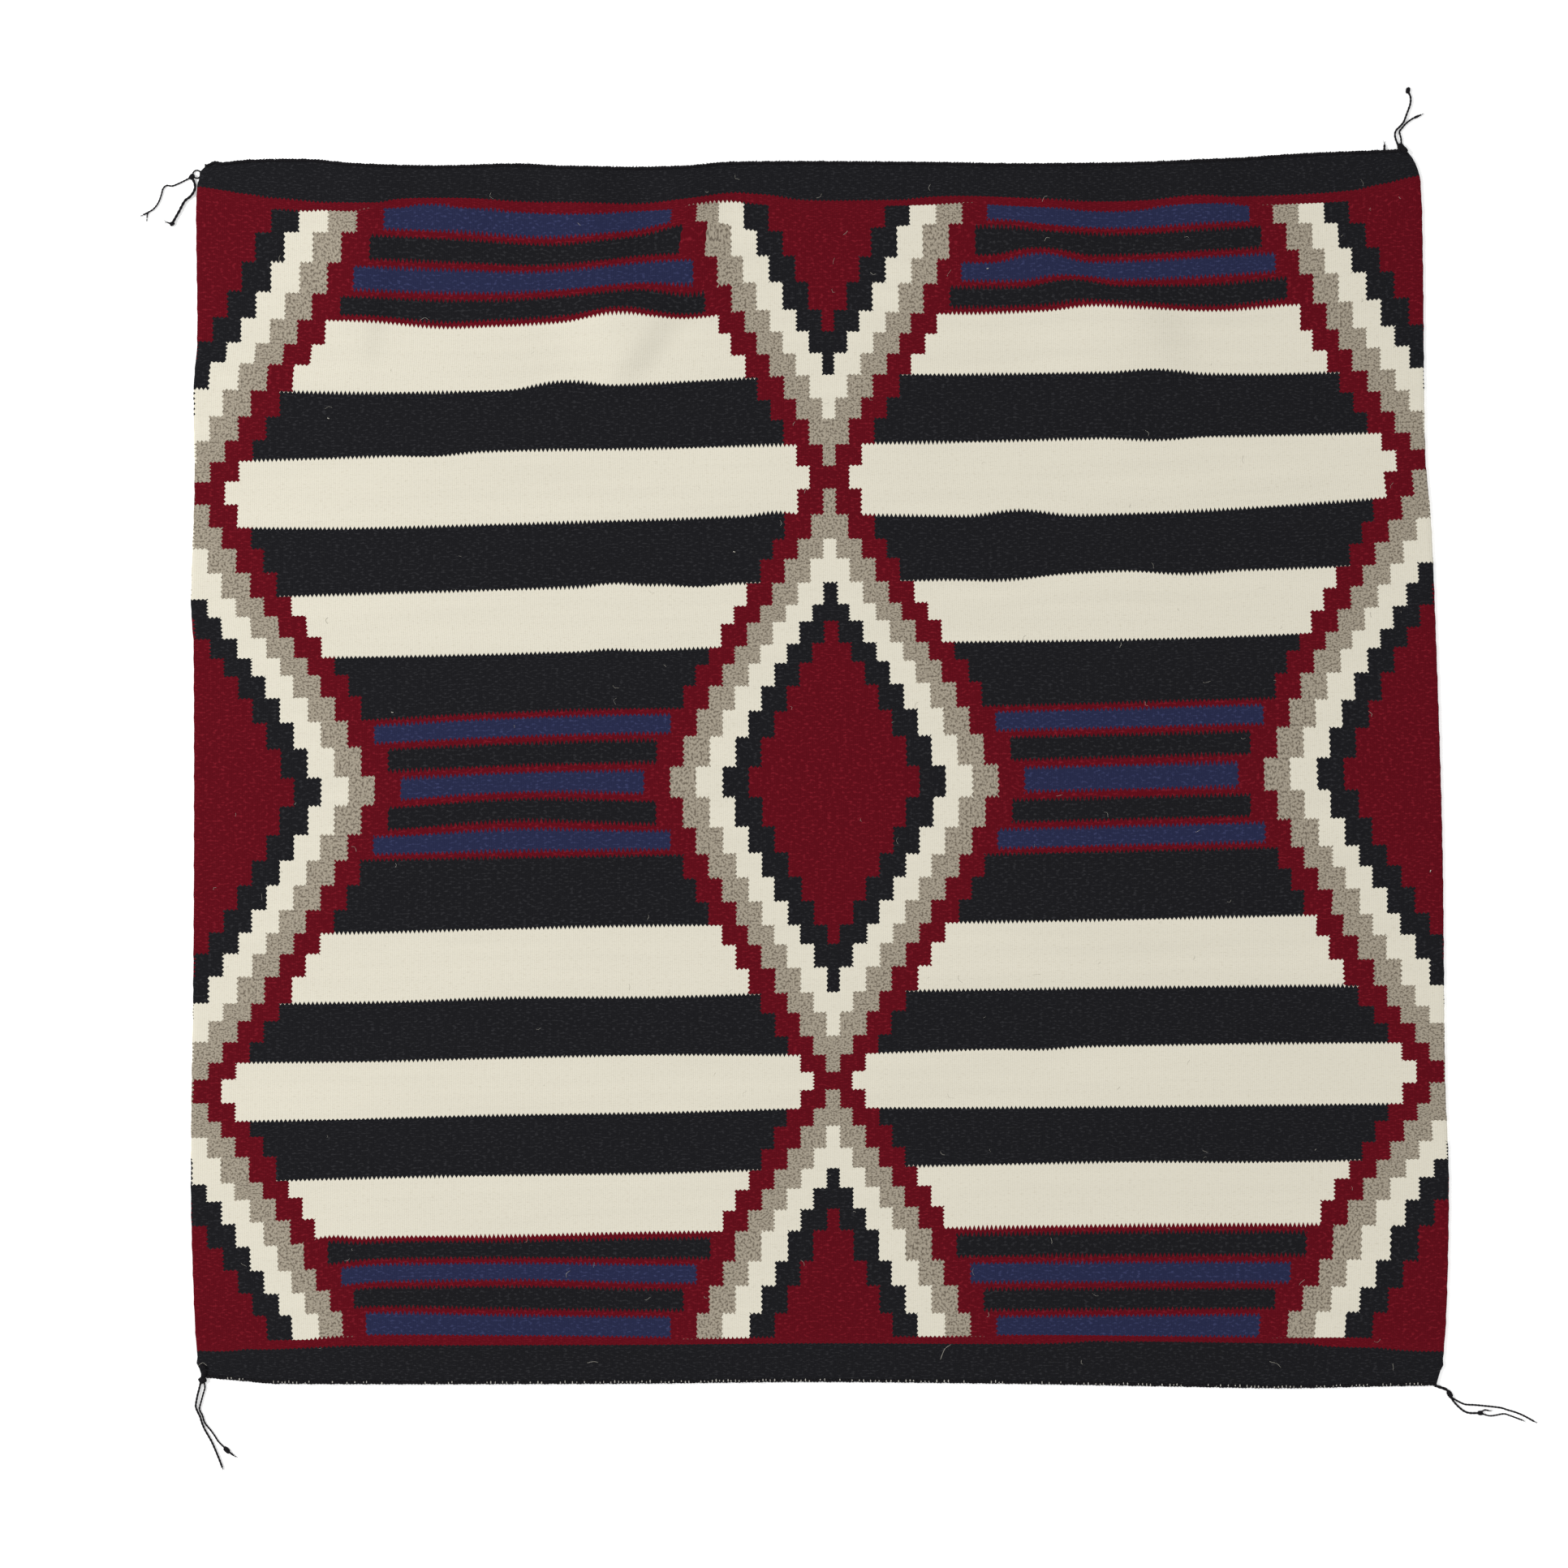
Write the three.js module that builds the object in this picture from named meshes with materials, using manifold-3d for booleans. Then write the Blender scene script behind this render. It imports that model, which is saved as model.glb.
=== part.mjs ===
// A flat hand-woven tapestry rug: one thick web, a twined cord along each end,
// and a knotted tassel at each corner.
// Millimetres. +X runs along the wefts, +Y along the warps, +Z up. The rug lies face up on z = 0.
// The origin is on the underside, in the middle of the web.
import * as THREE from "three";
import { mergeVertices } from "three/addons/utils/BufferGeometryUtils.js";
import Module from "manifold-3d";

const wasm = await Module();
wasm.setup();

// Driving sizes
const WEB_THICKNESS = 3.0;
const CORD_WIDTH = 3.0; // an end cord, seen from above
const CORD_HEIGHT = 2.8;
const SEAM_GAP = 0.3; // between pieces that lie against each other
const STRAND_HEIGHT = 2.2;
const RING_RADIUS = 4.4; // the open loop at the top left corner, to the middle of its yarn
const RING_YARN = 0.8; // half the loop's yarn

// How finely the surfaces are divided
const WEB_COLUMNS = 50;
const WEB_ROWS = 26;
const CORD_SIDES = 8;
const STRAND_STEPS_PER_POINT = 2;
const KNOT_SIDES = 8;
const RING_STEPS = 12;

// The four edges as they lie. "along" runs with the edge and "out" is where the edge is then.
const TOP_EDGE = [
  { along: -677, out: 673 },
  { along: -637, out: 678 },
  { along: -565, out: 679 },
  { along: -511, out: 674 },
  { along: -421, out: 672 },
  { along: -331, out: 674 },
  { along: -277, out: 671 },
  { along: -151, out: 671 },
  { along: -97, out: 676 },
  { along: 101, out: 676 },
  { along: 263, out: 674 },
  { along: 443, out: 679 },
  { along: 533, out: 685 },
  { along: 651, out: 690 },
];
const BOTTOM_EDGE = [
  { along: -682, out: -671 },
  { along: -637, out: -675 },
  { along: -601, out: -678 },
  { along: -223, out: -678 },
  { along: -7, out: -676 },
  { along: 209, out: -678 },
  { along: 389, out: -681 },
  { along: 515, out: -683 },
  { along: 623, out: -681 },
  { along: 685, out: -680 },
];
const LEFT_EDGE = [
  { along: -671, out: -682 },
  { along: -656, out: -686 },
  { along: -602, out: -690 },
  { along: -458, out: -694 },
  { along: -188, out: -691 },
  { along: 136, out: -691 },
  { along: 190, out: -694 },
  { along: 316, out: -690 },
  { along: 426, out: -691 },
  { along: 478, out: -687 },
  { along: 640, out: -688 },
  { along: 663, out: -684 },
  { along: 673, out: -677 },
];
const RIGHT_EDGE = [
  { along: -680, out: 685 },
  { along: -656, out: 692 },
  { along: -584, out: 697 },
  { along: -449, out: 699 },
  { along: -341, out: 695 },
  { along: -80, out: 692 },
  { along: 172, out: 684 },
  { along: 282, out: 679 },
  { along: 352, out: 673 },
  { along: 586, out: 670 },
  { along: 659, out: 667 },
  { along: 679, out: 660 },
  { along: 690, out: 651 },
];

// Soft ripples that run down from the top edge, where the cloth stands a little off the floor.
// "at" is a ripple's middle on the top edge, "half" its half width,
// "drift" how far its foot wanders to the right.
const RIPPLES = [
  { at: -500, half: 62, lift: 2.6, reach: 210, drift: -10 },
  { at: -262, half: 58, lift: 4.0, reach: 270, drift: 34 },
  { at: -150, half: 52, lift: 3.6, reach: 250, drift: 30 },
  { at: 268, half: 70, lift: 3.0, reach: 230, drift: -14 },
  { at: 432, half: 60, lift: 3.4, reach: 240, drift: -20 },
];

// The tassels. Each is a head knot at its corner with strands that lie on the floor.
// Places are measured from the head knot.
const TASSELS = [
  {
    name: "tassel_top_left",
    head: { x: -694.7, y: 660 },
    rings: [{ x: 5.5, y: 3.0 }],
    knots: [
      { x: 0, y: 0, long: 3.4, wide: 2.6, high: 3.2, turn: 50 },
      { x: -22, y: -52, long: 3.4, wide: 2.6, high: 2.8, turn: 30 },
    ],
    strands: [
      {
        width: 1.8,
        path: [
          { x: 0, y: 0 },
          { x: -14, y: -7 },
          { x: -22, y: -10 },
          { x: -28, y: -9.5 },
          { x: -32, y: -13 },
          { x: -34, y: -20 },
          { x: -37, y: -28 },
          { x: -42, y: -35 },
          { x: -48, y: -39 },
          { x: -54, y: -42 },
        ],
      },
      {
        width: 1.6,
        path: [
          { x: -48, y: -39 },
          { x: -49.5, y: -42 },
          { x: -50, y: -45.5 },
        ],
      },
      {
        width: 2.6,
        path: [
          { x: 0, y: 0 },
          { x: 3, y: -7 },
          { x: 3.6, y: -12 },
          { x: 1.8, y: -17 },
          { x: -2, y: -22 },
          { x: -8, y: -27 },
          { x: -14, y: -38 },
          { x: -18, y: -45 },
          { x: -22, y: -52 },
        ],
      },
      {
        width: 2,
        path: [
          { x: -22, y: -52 },
          { x: -27.5, y: -50.5 },
        ],
      },
    ],
  },
  {
    name: "tassel_top_right",
    head: { x: 646, y: 692.92 },
    rings: [],
    knots: [
      { x: 0, y: 0, long: 3.8, wide: 2.9, high: 3.4, turn: 0 },
      { x: 9, y: 61, long: 3.6, wide: 2.4, high: 3.0, turn: 80 },
    ],
    strands: [
      {
        width: 2.2,
        path: [
          { x: -2, y: 1 },
          { x: -5, y: 8.5 },
          { x: -6, y: 14 },
          { x: -4.5, y: 19 },
          { x: -0.5, y: 23 },
          { x: 3.6, y: 28 },
          { x: 6, y: 34 },
          { x: 8.6, y: 41 },
          { x: 11, y: 48 },
          { x: 11.3, y: 55.5 },
          { x: 9, y: 61 },
        ],
      },
      {
        width: 2.0,
        path: [
          { x: 1.2, y: 1 },
          { x: 0.8, y: 9 },
          { x: -0.4, y: 14 },
          { x: -0.9, y: 17.4 },
          { x: 1.7, y: 21 },
          { x: 5.9, y: 26 },
          { x: 9.8, y: 29.2 },
          { x: 14, y: 32 },
          { x: 18.5, y: 34 },
          { x: 23, y: 36 },
        ],
      },
    ],
  },
  {
    name: "tassel_bottom_left",
    head: { x: -683, y: -674.3 },
    rings: [],
    knots: [
      { x: 0, y: 0, long: 4.4, wide: 3.0, high: 3.4, turn: 0 },
      { x: 27, y: -78, long: 5.0, wide: 3.0, high: 3.0, turn: -45 },
    ],
    strands: [
      {
        width: 2.4,
        path: [
          { x: -1.4, y: -1 },
          { x: -3.2, y: -8.5 },
          { x: -5.4, y: -17 },
          { x: -7, y: -25 },
          { x: -7.4, y: -30 },
          { x: -5.4, y: -35.5 },
          { x: -2.7, y: -41 },
          { x: -0.5, y: -48 },
          { x: 2.7, y: -55.5 },
          { x: 7, y: -63 },
          { x: 11.3, y: -71 },
          { x: 18.5, y: -88 },
          { x: 22, y: -97.5 },
        ],
      },
      {
        width: 1.8,
        path: [
          { x: 1.4, y: -1 },
          { x: 2.7, y: -8.5 },
          { x: 1, y: -15 },
          { x: -1.4, y: -24 },
          { x: -3.2, y: -31 },
          { x: -2.7, y: -34.6 },
          { x: -0.1, y: -39.6 },
          { x: 2.2, y: -47 },
          { x: 5.4, y: -51.7 },
          { x: 9.5, y: -56.6 },
          { x: 14, y: -63 },
          { x: 18, y: -69 },
          { x: 27, y: -78 },
        ],
      },
      {
        width: 2.4,
        path: [
          { x: 27, y: -78 },
          { x: 35, y: -84.5 },
        ],
      },
    ],
  },
  {
    name: "tassel_bottom_right",
    head: { x: 700.7, y: -690.3 },
    rings: [],
    knots: [
      { x: 0, y: 0, long: 4.6, wide: 2.7, high: 3.2, turn: -60 },
      { x: 34, y: -21, long: 3.4, wide: 2.8, high: 3.0, turn: 0 },
    ],
    strands: [
      {
        width: 3.0,
        path: [
          { x: -14.95, y: 8.95 },
          { x: -9.5, y: 7.2 },
          { x: -3.4, y: 5.2 },
          { x: 0, y: 0 },
        ],
      },
      {
        width: 1.9,
        path: [
          { x: 0, y: 0 },
          { x: 3.4, y: -4.4 },
          { x: 13, y: -10 },
          { x: 19, y: -11.7 },
          { x: 30, y: -12.3 },
          { x: 55, y: -15 },
          { x: 64, y: -17.6 },
          { x: 73, y: -20.3 },
          { x: 82, y: -24 },
          { x: 94, y: -30.6 },
        ],
      },
      {
        width: 2.2,
        path: [
          { x: 0, y: 0 },
          { x: 2.6, y: -5.6 },
          { x: 6.8, y: -11 },
          { x: 11.3, y: -15.4 },
          { x: 16, y: -19 },
          { x: 22, y: -21 },
          { x: 34, y: -21 },
        ],
      },
      {
        width: 1.6,
        path: [
          { x: 34, y: -21 },
          { x: 38.7, y: -17.8 },
          { x: 43.7, y: -18.5 },
        ],
      },
      {
        width: 1.6,
        path: [
          { x: 34, y: -21 },
          { x: 43, y: -24 },
          { x: 50, y: -23.7 },
          { x: 60, y: -22 },
          { x: 67, y: -24 },
          { x: 80.5, y: -29 },
        ],
      },
    ],
  },
];

// A cut yarn end that stands out of the top cord.
const YARN_STUB = { x: 628, width: 2.4, length: 7 };

const wool = (colour, roughness) =>
  new THREE.MeshStandardMaterial({ color: colour, roughness, metalness: 0 });
const WEB_WOOL = wool(0x6b1322, 0.95);
const BLACK_WOOL = wool(0x1f1e22, 0.92);

// A smooth curve through a table's rows, read at one place along it.
function edgeAt(rows, along) {
  const last = rows.length - 1;
  let i = 0;
  while (i < last - 1 && along > rows[i + 1].along) i += 1;
  const slopeAt = (k) => {
    const before = rows[Math.max(k - 1, 0)];
    const after = rows[Math.min(k + 1, last)];
    return (after.out - before.out) / (after.along - before.along);
  };
  const run = rows[i + 1].along - rows[i].along;
  const f = THREE.MathUtils.clamp((along - rows[i].along) / run, 0, 1);
  const rise = rows[i + 1].out - rows[i].out;
  const leave = slopeAt(i) * run - rise;
  const arrive = rise - slopeAt(i + 1) * run;
  return rows[i].out + rise * f + f * (1 - f) * (leave * (1 - f) + arrive * f);
}

// How far the cloth stands off the floor. The middles and feet of the ripples set it.
function liftAt(x, y) {
  return RIPPLES.reduce((sum, ripple) => {
    const down = (edgeAt(TOP_EDGE, x) - y) / ripple.reach;
    if (down >= 1) return sum;
    const across = (x - ripple.at - ripple.drift * down) / ripple.half;
    if (Math.abs(across) >= 1) return sum;
    const ridge = (1 + Math.cos(Math.PI * across)) / 2;
    const fade = (1 + Math.cos(Math.PI * Math.max(down, 0))) / 2;
    return sum + ripple.lift * ridge * fade;
  }, 0);
}

// The web is shorter than the outline by the end cords and their seams.
const SEAM = CORD_WIDTH + SEAM_GAP;
const topOfWeb = (x) => edgeAt(TOP_EDGE, x) - SEAM;
const bottomOfWeb = (x) => edgeAt(BOTTOM_EDGE, x) + SEAM;

// A place on the web: s runs from the left edge to the right one, t from the bottom edge to the top one.
function webPlace(s, t) {
  const { lerp } = THREE.MathUtils;
  const sideAt = (rows, corner) => edgeAt(rows, lerp(bottomOfWeb(corner), topOfWeb(corner), t));
  const left = sideAt(LEFT_EDGE, TOP_EDGE[0].along);
  const right = sideAt(RIGHT_EDGE, TOP_EDGE[TOP_EDGE.length - 1].along);
  const x = lerp(left, right, s);
  return { x, y: lerp(bottomOfWeb(x), topOfWeb(x), t) };
}

// The web is a box one cell thick, laid into the outline, with its rows closer together towards both ends.
function makeWeb() {
  const geometry = new THREE.BoxGeometry(1, 1, 1, WEB_COLUMNS, WEB_ROWS, 1);
  const place = geometry.getAttribute("position");
  for (let i = 0; i < place.count; i += 1) {
    const rowsUp = (1 - Math.cos(Math.PI * (place.getY(i) + 0.5))) / 2;
    const { x, y } = webPlace(place.getX(i) + 0.5, rowsUp);
    const level = place.getZ(i) > 0 ? WEB_THICKNESS : 0;
    place.setXYZ(i, x, y, liftAt(x, y) + level);
  }
  return geometry;
}

// A tube of an even section along a smooth path. The section is as high as it is told, and stands square.
function makeTube(points, section, steps) {
  const path = new THREE.CatmullRomCurve3(points, false, "centripetal");
  return new THREE.ExtrudeGeometry(new THREE.Shape(section), {
    extrudePath: path,
    steps,
    bevelEnabled: false,
  });
}

// A four-sided section. Its first direction is upright.
function strandSection(width) {
  const high = STRAND_HEIGHT / 2;
  const wide = width / 2;
  return [
    new THREE.Vector2(high, wide),
    new THREE.Vector2(-high, wide),
    new THREE.Vector2(-high, -wide),
    new THREE.Vector2(high, -wide),
  ];
}

// An end cord is an eight-sided tube with a flat foot.
// It follows the web's edge at t, and rises with the ripples there.
function makeEndCord(t) {
  const outward = t > 0 ? 1 : -1;
  const corner = 1 / Math.cos(Math.PI / CORD_SIDES);
  const geometry = new THREE.CylinderGeometry(
    corner,
    corner,
    1,
    CORD_SIDES,
    WEB_COLUMNS,
    false,
    Math.PI / CORD_SIDES,
  );
  const place = geometry.getAttribute("position");
  for (let i = 0; i < place.count; i += 1) {
    const edge = webPlace(place.getY(i) + 0.5, t);
    const across = (-place.getX(i) * CORD_WIDTH) / 2;
    const up = ((place.getZ(i) + 1) * CORD_HEIGHT) / 2;
    const middle = edge.y + outward * (SEAM_GAP + CORD_WIDTH / 2);
    place.setXYZ(i, edge.x, middle + across, liftAt(edge.x, edge.y) + up);
  }
  return geometry;
}

// A short upright tuft of yarn in the plane of the rug, rooted in the top cord.
function makeYarnStub() {
  const edge = edgeAt(TOP_EDGE, YARN_STUB.x);
  const root = new THREE.Vector3(YARN_STUB.x, edge - CORD_WIDTH / 2, STRAND_HEIGHT / 2);
  const tip = root.clone().setY(edge + YARN_STUB.length);
  return makeTube([root, tip], strandSection(YARN_STUB.width), 1);
}

// A strand of a tassel, level on the floor.
function makeStrand({ width, path }) {
  const points = path.map(({ x, y }) => new THREE.Vector3(x, y, STRAND_HEIGHT / 2));
  return makeTube(points, strandSection(width), STRAND_STEPS_PER_POINT * points.length);
}

// A knot is a pebble with a flat foot.
function makeKnot({ x, y, long, wide, high, turn }) {
  const profile = [
    [0, 0],
    [0.8, 0],
    [1, 0.3],
    [1, 0.6],
    [0.7, 1],
    [0, 1],
  ].map(([radius, up]) => new THREE.Vector2(radius, up));
  return new THREE.LatheGeometry(profile, KNOT_SIDES)
    .rotateX(Math.PI / 2)
    .scale(long, wide, high)
    .rotateZ(THREE.MathUtils.degToRad(turn))
    .translate(x, y, 0);
}

// An open loop of yarn, flat on the floor.
const makeRing = ({ x, y }) =>
  new THREE.TorusGeometry(RING_RADIUS, RING_YARN, 4, RING_STEPS).translate(x, y, RING_YARN);

function solidOf(geometry) {
  const bare = geometry.clone();
  bare.deleteAttribute("normal");
  bare.deleteAttribute("uv");
  const merged = mergeVertices(bare, 1e-4);
  return new wasm.Manifold(
    new wasm.Mesh({
      numProp: 3,
      vertProperties: merged.getAttribute("position").array,
      triVerts: new Uint32Array(merged.index.array),
    }),
  );
}

// Joins closed pieces into one closed geometry.
function fuse(pieces) {
  const [start, ...rest] = pieces.map(solidOf);
  const mesh = rest.reduce((whole, piece) => whole.add(piece), start).getMesh();
  const geometry = new THREE.BufferGeometry();
  geometry.setAttribute("position", new THREE.BufferAttribute(mesh.vertProperties, 3));
  geometry.setIndex(new THREE.BufferAttribute(mesh.triVerts, 1));
  geometry.computeVertexNormals();
  return geometry;
}

function addMesh(group, name, geometry, material) {
  const mesh = new THREE.Mesh(geometry, material);
  mesh.name = name;
  group.add(mesh);
  return mesh;
}

const rug = new THREE.Group();
addMesh(rug, "web", makeWeb(), WEB_WOOL);
addMesh(rug, "end_cord_top", fuse([makeEndCord(1), makeYarnStub()]), BLACK_WOOL);
addMesh(rug, "end_cord_bottom", makeEndCord(0), BLACK_WOOL);
for (const { name, head, rings, knots, strands } of TASSELS) {
  const pieces = [...knots.map(makeKnot), ...strands.map(makeStrand), ...rings.map(makeRing)];
  addMesh(rug, name, fuse(pieces), BLACK_WOOL).position.set(head.x, head.y, 0);
}

export default rug;
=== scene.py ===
"""A flat hand-woven wool rug: its tapestry web, end cords, warp loops and knotted corner tassels.

Lengths are in metres. +X runs along the wefts, +Y along the warps and +Z up from the floor.
"""

import logging
import math
import random
from collections.abc import Callable
from dataclasses import dataclass
from enum import Enum

import bmesh
import bpy
import numpy as np
from mathutils import Matrix, Vector


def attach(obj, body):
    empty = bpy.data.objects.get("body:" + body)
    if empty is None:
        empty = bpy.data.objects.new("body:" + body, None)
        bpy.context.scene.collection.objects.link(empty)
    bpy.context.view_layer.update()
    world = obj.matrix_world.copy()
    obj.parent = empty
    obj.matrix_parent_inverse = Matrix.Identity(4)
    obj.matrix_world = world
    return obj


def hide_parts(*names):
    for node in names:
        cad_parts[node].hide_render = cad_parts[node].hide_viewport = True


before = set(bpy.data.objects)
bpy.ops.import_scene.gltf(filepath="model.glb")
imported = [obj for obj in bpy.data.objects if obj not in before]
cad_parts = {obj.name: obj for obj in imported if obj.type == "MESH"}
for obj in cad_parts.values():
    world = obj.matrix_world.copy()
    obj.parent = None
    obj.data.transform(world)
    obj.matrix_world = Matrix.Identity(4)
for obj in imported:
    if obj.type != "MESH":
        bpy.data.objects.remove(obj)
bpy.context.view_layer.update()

LOG = logging.getLogger("rug")

# Sizes that the pieces share
WEB_THICKNESS = 0.003
CORD_WIDTH = 0.003
SEAM_GAP = 0.0003
WARP_COUNT = 580
WEFTS_PER_ROW = 28
SPARE_WARPS = 10  # added so that no count on the web is below nought
SPARE_ROWS = 20
MM = 0.001

# How the photograph lies over the rug
PHOTO_SIDE = 1932
METRES_PER_PIXEL = 0.0009
ORIGIN_PIXEL = (1008, 951)

Place = Callable[[np.ndarray], np.ndarray]


class End(Enum):
    """The two ends of the warps."""

    TOP = 1
    BOTTOM = 0

    @property
    def outward(self) -> int:
        """The sign of Y that points away from the web."""
        return 1 if self is End.TOP else -1


def linear(code: str) -> tuple[float, float, float, float]:
    """Turn a screen colour into the renderer's linear colour.

    Args:
        code: Six hexadecimal digits.

    Returns:
        Red, green, blue and an alpha of one.
    """
    shares = [int(code[i : i + 2], 16) / 255 for i in (0, 2, 4)]
    light = [s / 12.92 if s <= 0.04045 else ((s + 0.055) / 1.055) ** 2.4 for s in shares]
    return (*light, 1.0)


@dataclass(frozen=True)
class Dye:
    """One dyed or natural wool: its main colour, and the colour, share and size of its flecks.

    The size is how many flecks there are in a warp, and in a weft.
    """

    base: str
    fleck: str
    share: float
    flecks: tuple[float, float] = (0.50, 0.45)


class Wool(Enum):
    """The five wools of the web."""

    RED = Dye("590a16", "761824", 0.44)
    BLACK = Dye("19191c", "2c2c2f", 0.44)
    CREAM = Dye("d4cfbf", "cac4b3", 0.40, (0.50, 0.80))
    GREY = Dye("9f9686", "6a6155", 0.60, (0.95, 0.42))
    NAVY = Dye("242845", "373c5f", 0.42)

    @property
    def number(self) -> int:
        """The wool's place in the shader's count."""
        return list(Wool).index(self)


def hump(across: np.ndarray, along: np.ndarray) -> np.ndarray:
    """A soft hump: one in its middle, and nought from where either share of the way out is one."""
    across, along = (1 + np.cos(math.pi * np.clip(share, -1, 1)) for share in (across, along))
    return across * along / 4


@dataclass(frozen=True)
class Swell:
    """A soft local change: its middle, its half sizes and how large it is in its middle."""

    x: float
    y: float
    half_width: float
    half_height: float
    size: float

    def at(self, x: np.ndarray, y: np.ndarray) -> np.ndarray:
        """The change at each place."""
        return self.size * hump((x - self.x) / self.half_width, (y - self.y) / self.half_height)


@dataclass(frozen=True)
class WaveringLine:
    """A line that wavers as cloth does: a smooth curve through known places.

    Each place holds how far it is along the line, and how far out the line is there.
    """

    places: tuple[tuple[float, float], ...]

    def at(self, along: np.ndarray) -> np.ndarray:
        """Read the line.

        Args:
            along: Places along the line.

        Returns:
            How far out the line is at each of them.
        """
        run, out = np.array(self.places).T
        slope = np.empty_like(out)
        slope[1:-1] = (out[2:] - out[:-2]) / (run[2:] - run[:-2])
        slope[[0, -1]] = (out[[1, -1]] - out[[0, -2]]) / (run[[1, -1]] - run[[0, -2]])
        cell = np.clip(np.searchsorted(run, along) - 1, 0, len(run) - 2)
        width = run[cell + 1] - run[cell]
        part = np.clip((along - run[cell]) / width, 0, 1)
        rise = out[cell + 1] - out[cell]
        leave = slope[cell] * width - rise
        arrive = rise - slope[cell + 1] * width
        return out[cell] + rise * part + part * (1 - part) * (leave * (1 - part) + arrive * part)


@dataclass(frozen=True)
class Ripple:
    """A soft ripple that runs down from the top edge, where the cloth stands a little off the floor."""

    middle: float
    half_width: float
    height: float
    reach: float
    drift: float


@dataclass(frozen=True)
class Outline:
    """The four edges of the rug as it lies, and its ripples.

    The web's ends lie inside the top and bottom edges by the seam. Its sides are moved along x from
    the left and right edges by the selvedges.
    """

    top: WaveringLine = WaveringLine((
        (-0.677, 0.6735), (-0.669, 0.6765), (-0.659, 0.6755), (-0.637, 0.678), (-0.565, 0.679),
        (-0.511, 0.674), (-0.421, 0.672), (-0.331, 0.674), (-0.277, 0.671), (-0.151, 0.671),
        (-0.097, 0.676), (0.101, 0.676), (0.263, 0.674), (0.443, 0.679), (0.533, 0.685), (0.651, 0.690),
    ))
    bottom: WaveringLine = WaveringLine((
        (-0.682, -0.671), (-0.637, -0.675), (-0.601, -0.678), (-0.223, -0.678), (-0.007, -0.676),
        (0.209, -0.678), (0.389, -0.681), (0.515, -0.683), (0.623, -0.681), (0.685, -0.680),
    ))
    left: WaveringLine = WaveringLine((
        (-0.671, -0.682), (-0.656, -0.686), (-0.602, -0.690), (-0.458, -0.694), (-0.188, -0.691),
        (0.136, -0.691), (0.190, -0.694), (0.316, -0.690), (0.426, -0.691), (0.478, -0.687),
        (0.640, -0.688), (0.663, -0.684), (0.673, -0.677),
    ))
    right: WaveringLine = WaveringLine((
        (-0.680, 0.685), (-0.656, 0.692), (-0.584, 0.697), (-0.449, 0.699), (-0.341, 0.695),
        (-0.080, 0.692), (0.172, 0.684), (0.282, 0.679), (0.352, 0.673), (0.586, 0.670),
        (0.659, 0.667), (0.679, 0.660), (0.690, 0.651),
    ))
    ripples: tuple[Ripple, ...] = (
        # middle, half width, height, reach and drift
        Ripple(-0.500, 0.062, 0.0026, 0.210, -0.010),
        Ripple(-0.262, 0.058, 0.0040, 0.270, 0.034),
        Ripple(-0.150, 0.052, 0.0036, 0.250, 0.030),
        Ripple(0.268, 0.070, 0.0030, 0.230, -0.014),
        Ripple(0.432, 0.060, 0.0034, 0.240, -0.020),
    )
    seam: float = 0.0022
    selvedges: tuple[float, float] = (-0.0018, 0.0006)

    def web_end(self, x: np.ndarray, end: End) -> np.ndarray:
        """Y of the web's own end, inside the cord, at each x."""
        edge = self.top if end is End.TOP else self.bottom
        return edge.at(x) - end.outward * self.seam

    def place(self, across: np.ndarray, up: np.ndarray) -> tuple[np.ndarray, np.ndarray]:
        """Find places on the web.

        Args:
            across: Share of the way from the left edge to the right one.
            up: Share of the way from the bottom edge to the top one.

        Returns:
            X and Y of each place.
        """
        sides = []
        corners = (self.top.places[0][0], self.top.places[-1][0])
        for side, corner, out in zip((self.left, self.right), corners, self.selvedges):
            foot = self.web_end(corner, End.BOTTOM)
            sides.append(out + side.at(foot + (self.web_end(corner, End.TOP) - foot) * up))
        x = sides[0] + (sides[1] - sides[0]) * across
        foot = self.web_end(x, End.BOTTOM)
        return x, foot + (self.web_end(x, End.TOP) - foot) * up

    def lift(self, x: np.ndarray, y: np.ndarray) -> np.ndarray:
        """How far the cloth stands off the floor at each place."""
        total = np.zeros_like(x)
        for ripple in self.ripples:
            down = np.clip((self.top.at(x) - y) / ripple.reach, 0, 1)
            across = (x - ripple.middle - ripple.drift * down) / ripple.half_width
            total += ripple.height * hump(across, down)
        return total


OUTLINE = Outline()


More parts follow.
